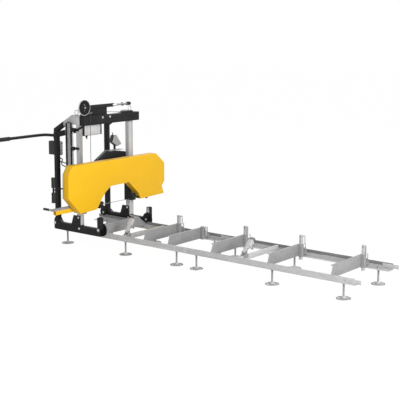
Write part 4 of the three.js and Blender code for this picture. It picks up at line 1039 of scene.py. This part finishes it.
class SAWMILL_OT_tank(bpy.types.Operator):
    """Add the water tank with its cap, strap, tap and spout"""

    bl_idname = "sawmill.tank"
    bl_label = "Water tank"

    tap_seat = ((-12, -307, 1035), (9, -287, 1060.4), "rubber")
    tap_top = (-1, -297, 1060.4)
    funnel = [(0, 0), (27, 0), (27, 2), (24, 3.4), (3, 3.4), (3, 22), (8, 22), (8, 26), (0, 26)]
    spout = [(4.2, 24), (7, 24), (6.4, 46), (5.4, 48), (4.2, 48), (4.2, 24)]
    # Name, corners, rounding and finish of the blocks on the tank's front
    blocks = (
        ("tank_rib_292", (28.8, -301, 1062), (30.6, -283, 1176), 0.5, "tank"),
        ("tank_rib_165", (28.8, -174, 1062), (30.6, -156, 1176), 0.5, "tank"),
        ("tank_seam", (29, -371.5, 1167), (30.4, -85.5, 1169.5), 0.6, "tank"),
        ("tank_strap_near", (29.4, -372, 1058), (32, -354, 1179.5), 0.8, "black"),
        ("tank_strap_far", (29.4, -103, 1058), (32, -85, 1179.5), 0.8, "black"),
    )

    def execute(self, context):
        dress("water_tank", "tank", round_by=0.006, shortest=0.05, zones=[self.tap_seat])
        for name, low, high, round_by, finish in self.blocks:
            hand_over(block(low, high, round_by), name, "carriage", finish)
        top = on_carriage(*self.tap_top)
        funnel, spout = lathed(self.funnel, top, DOWN, 24), lathed(self.spout, top, DOWN, 20)
        hand_over(funnel, "tap_funnel", "carriage", "rubber")
        hand_over(spout, "tap_spout", "carriage", "tank")
        dress("tank_tap", "rubber", round_by=0.0008, shortest=0.01)
        return {"FINISHED"}


class SAWMILL_OT_head(bpy.types.Operator):
    """Add the saw head's frame with its guides and bright bolts"""

    bl_idname = "sawmill.head"
    bl_label = "Head frame"

    wheel_stub = ((190, 520, 498), (207, 560, 534), "plated")
    guide_bolts = ((104, 240, 337), (104, 281, 337))

    def execute(self, context):
        dress("head_frame", "black", zones=[self.wheel_stub])
        bolts = hex_bolts([on_carriage(*bolt) for bolt in self.guide_bolts], UP, 6, 5)
        hand_over(bolts, "far_guide_bolts", "head", "plated")
        return {"FINISHED"}


class SAWMILL_OT_cover(bpy.types.Operator):
    """Add the yellow blade cover with its pressed edge and latches"""

    bl_idname = "sawmill.cover"
    bl_label = "Blade cover"

    # Places of the two latches, with their bodies and tabs measured from them
    latches = ((0, -541, 250), (0, 475, 280))
    body = ((198, -13.5, -27.5), (222, 13.5, 8))
    tab = ((223.2, -9, -26), (223.9, 9, 8))

    def execute(self, context):
        look = context.scene.sawmill_look
        bodies = [(*self.at(place, self.body), "black") for place in self.latches]
        dress("blade_cover", "yellow", round_by=look.cover_round, shortest=0.05, zones=bodies)
        tabs = bmesh.new()
        for place in self.latches:
            join_in(tabs, block(*self.at(place, self.tab), 0.3))
        hand_over(tabs, "cover_latch_tabs", "blade_cover", "plated")
        return {"FINISHED"}

    def at(self, place, corners):
        return [Vector(place) + Vector(corner) for corner in corners]


class SAWMILL_OT_band_wheels(bpy.types.Operator):
    """Add the two ribbed band wheels with their rubber tyres"""

    bl_idname = "sawmill.band_wheels"
    bl_label = "Band wheels"

    bore = (15.2, -22)
    back = [(34, -22), (36, -20), (37, -7), (44, -5), (205, -5), (211, -7), (212, -13), (214, -14)]
    tyre = [(229, -14), (230, -12.5), (234.6, -11), (234.9, 0), (234.6, 11), (230, 12.5), (229, 14)]
    front = [(214, 14), (212, 13), (211, 7), (205, 5), (44, 5), (37, 7), (36, 20), (34, 22), (15.2, 22)]
    tyre_from = 229.6
    rib_count = 6
    rib = (Vector((-0.009, -0.005, 0.034)), Vector((0.009, 0.005, 0.213)))

    def execute(self, context):
        for name in ("band_wheel_near", "band_wheel_far"):
            self.wheel(name, middle(name))
        return {"FINISHED"}

    def wheel(self, name, centre):
        bm = lathed([self.bore, *self.back, *self.tyre, *self.front, self.bore], centre, ALONG, 96)
        paint_rim(bm, centre, self.tyre_from)
        hand_over(bm, name + "_turned", name, ("wheel", "rubber"), (name,), 30)
        ribs = bmesh.new()
        for i in range(self.rib_count):
            turn = Matrix.Translation(centre) @ Matrix.Rotation(math.tau * i / self.rib_count, 4, "X")
            rib = rounded_block(*self.rib, 2)
            bmesh.ops.transform(rib, matrix=turn, verts=rib.verts[:])
            join_in(ribs, rib)
        hand_over(ribs, name + "_ribs", name, "wheel")


class SAWMILL_OT_blade(bpy.types.Operator):
    """Add the toothed saw blade round both band wheels"""

    bl_idname = "sawmill.blade"
    bl_label = "Saw blade"

    back_plane = 165.0
    near, far, level = -552.0, 539.0, 516.0
    radius = 235.75
    straight = far - near
    band_width = 0.027
    tooth = 0.0055
    gullet = 0.0012

    def execute(self, context):
        total = 2 * self.straight + math.tau * self.radius
        count = int(total / (context.scene.sawmill_look.tooth_pitch * 500))
        count -= count % 2
        places = [on_carriage(self.back_plane, *self.place(total * i / count)) for i in range(count)]
        bm = bmesh.new()
        loop = [bm.verts.new(place) for place in places]
        edges = [bm.edges.new(pair) for pair in zip(loop, loop[1:] + loop[:1])]
        band = bmesh.ops.extrude_edge_only(bm, edges=edges)["geom"]
        front = [item for item in band if isinstance(item, bmesh.types.BMVert)]
        bmesh.ops.translate(bm, vec=(self.band_width, 0, 0), verts=front)
        rim = [item for item in band if isinstance(item, bmesh.types.BMEdge) and item.is_boundary]
        teeth = bmesh.ops.extrude_edge_only(bm, edges=rim)["geom"]
        order = {tuple(vert.co.yz): i for i, vert in enumerate(loop)}
        for vert in teeth:
            if isinstance(vert, bmesh.types.BMVert):
                vert.co.x += self.tooth if order[tuple(vert.co.yz)] % 2 else self.gullet
        bmesh.ops.recalc_face_normals(bm, faces=bm.faces[:])
        bmesh.ops.solidify(bm, geom=bm.faces[:], thickness=0.001)
        hand_over(bm, "saw_blade_toothed", "head", "blade", ("saw_blade",), 30)
        return {"FINISHED"}

    def place(self, along):
        """(y, z) on the loop, from the near end of its lower run."""
        half = math.pi * self.radius
        if along < self.straight:
            return self.near + along, self.level - self.radius
        along -= self.straight
        if along < half:
            return self.on_bend(self.far, along / self.radius - math.pi / 2)
        along -= half
        if along < self.straight:
            return self.far - along, self.level + self.radius
        return self.on_bend(self.near, (along - self.straight) / self.radius + math.pi / 2)

    def on_bend(self, centre, turn):
        return centre + self.radius * math.cos(turn), self.level + self.radius * math.sin(turn)


class SAWMILL_OT_guide_arm(bpy.types.Operator):
    """Add the sliding blade guide arm with its handle"""

    bl_idname = "sawmill.guide_arm"
    bl_label = "Guide arm"

    zones = [
        ((83, -939, 292.6), (125, -242, 316), "dull_zinc"),
        ((83, -313, 244), (204, -242, 316), "black"),
        ((56, -942, 290), (83.5, -912, 320), "chrome"),
        ((-40, -945, 285), (57.5, -910, 325), "rubber"),
    ]
    seams = [((0, 0, 292.6), UP), ((0, -312.5, 0), ACROSS)]
    handle = (58, -928, 304)
    bolts = ((104, -300, 315), (104, -256, 315))

    def execute(self, context):
        dress("guide_arm", "yellow", round_by=0.0025, zones=self.zones, seams=self.seams)
        grip = ribbed(radius=13.4, start=0, end=92, pitch=8, groove=1.3)
        bm = lathed(grip, on_carriage(*self.handle), (-1, 0, 0), 26)
        hand_over(bm, "guide_grip", "guide_arm", "rubber")
        bolts = hex_bolts([on_carriage(*bolt) for bolt in self.bolts], UP, 6, 5)
        hand_over(bolts, "guide_bolts", "guide_arm", "plated")
        return {"FINISHED"}


class SAWMILL_OT_tension(bpy.types.Operator):
    """Add the tension block and the tee-handled screw"""

    bl_idname = "sawmill.tension"
    bl_label = "Blade tension"

    tee = (74, -882, 516)
    shank = ((60, -672, 498), (90, -580, 534), "plated")

    def execute(self, context):
        dress("tension_block", "bare", round_by=0.002)
        dress("tension_screw", "black", round_by=0.001, zones=[self.shank])
        grip = ribbed(radius=22.4, start=27, end=139.4, pitch=9, groove=1.8)
        for name, way in (("upper", UP), ("lower", DOWN)):
            bm = lathed(grip, on_carriage(*self.tee), way, 28)
            hand_over(bm, f"tee_grip_{name}", "tension_screw", "rubber")
        return {"FINISHED"}


class SAWMILL_OT_engine(bpy.types.Operator):
    """Add the drive engine with fins, recoil starter, silencer, cap and air cleaner"""

    bl_idname = "sawmill.engine"
    bl_label = "Engine"

    zones = [
        ((-153, 215, 864), (-95, 380, 1003), "lit_black"),
        ((-97, 215, 864), (-95, 380, 1003), "cowl"),
    ]
    # Corners of the first of a row, the step to the next, their number and rounding
    fins = ((-228, 215, 640), (-114, 366, 644), (0, 0, 13), 9, 1)
    louvres = ((-297.5, 130, 654), (-295, 138, 694), (0, 22, 0), 5, 0.8)
    silencer = ((-296, 110, 642), (-232, 250, 706))
    filler = (-262, 312, 640)
    filler_cap = [(0, 0), (21, 0), (22, 3), (22, 10), (19, 14), (8, 16), (0, 16)]
    oil_hole = (-280, 95, 640)
    oil_plug = [(0, 0), (11, 0), (11, 9), (8, 12), (0, 12)]
    throttle = ((-67, 118, 815), (-67, 92, 844), (-67, -66, 752), (-67, -64, 720))
    throttle_radius = 3.4
    strip = ((-108, 112, 830.5), (-28, 345, 835))

    def execute(self, context):
        dress("engine", "engine", round_by=0.005, shortest=0.03, zones=self.zones)
        for name, finish, bm in (
            ("cooling_fins", "alloy", block_row(*self.fins)),
            ("silencer", "alloy", block(*self.silencer, 10, 4)),
            ("silencer_louvres", "engine", block_row(*self.louvres)),
            ("filler_cap", "rubber", lathed(self.filler_cap, on_carriage(*self.filler), UP, 28)),
            ("oil_plug", "yellow", lathed(self.oil_plug, on_carriage(*self.oil_hole), UP, 24)),
            ("throttle_tube", "chrome", self.tube()),
            ("shroud_strip", "cowl", block(*self.strip, 1.5)),
        ):
            hand_over(bm, name, "head", finish)
        return {"FINISHED"}

    def tube(self, lap=0.6):
        """Straight lengths that overlap a little at the bends."""
        bm = bmesh.new()
        for a, b in zip(self.throttle, self.throttle[1:]):
            start, way = on_carriage(*a), on_carriage(*b) - on_carriage(*a)
            end = way.length * 1000 + lap
            profile = [(0, -lap), (self.throttle_radius, -lap), (self.throttle_radius, end), (0, end)]
            lathe(bm, profile, start, way, 14)
        return bm


STEPS = (
    SAWMILL_OT_stage,
    SAWMILL_OT_rails,
    SAWMILL_OT_bunks,
    SAWMILL_OT_stops,
    SAWMILL_OT_clamps,
    SAWMILL_OT_feet,
    SAWMILL_OT_side_frames,
    SAWMILL_OT_wheels,
    SAWMILL_OT_masts,
    SAWMILL_OT_crossbeam,
    SAWMILL_OT_winch,
    SAWMILL_OT_push_handle,
    SAWMILL_OT_control_box,
    SAWMILL_OT_height_scale,
    SAWMILL_OT_tank,
    SAWMILL_OT_head,
    SAWMILL_OT_cover,
    SAWMILL_OT_band_wheels,
    SAWMILL_OT_blade,
    SAWMILL_OT_guide_arm,
    SAWMILL_OT_tension,
    SAWMILL_OT_engine,
)


class SAWMILL_PT_panel(bpy.types.Panel):
    """The sawmill's look and its pieces, in the 3D view's sidebar"""

    bl_label = "Portable band sawmill"
    bl_space_type = "VIEW_3D"
    bl_region_type = "UI"
    bl_category = "Sawmill"

    def draw(self, context):
        look = context.scene.sawmill_look
        for name in look.bl_rna.properties.keys():
            if name not in ("rna_type", "name"):
                self.layout.prop(look, name)
        for step in STEPS:
            self.layout.operator(step.bl_idname)


def register():
    for item in (SawmillLook, *STEPS, SAWMILL_PT_panel):
        bpy.utils.register_class(item)
    bpy.types.Scene.sawmill_look = bpy.props.PointerProperty(type=SawmillLook)


def unregister():
    del bpy.types.Scene.sawmill_look
    for item in reversed((SawmillLook, *STEPS, SAWMILL_PT_panel)):
        bpy.utils.unregister_class(item)


def main():
    register()
    mix_finishes(bpy.context.scene.sawmill_look)
    for step in STEPS:
        getattr(bpy.ops.sawmill, step.bl_idname.split(".")[1])()


if __name__ == "__main__":
    main()
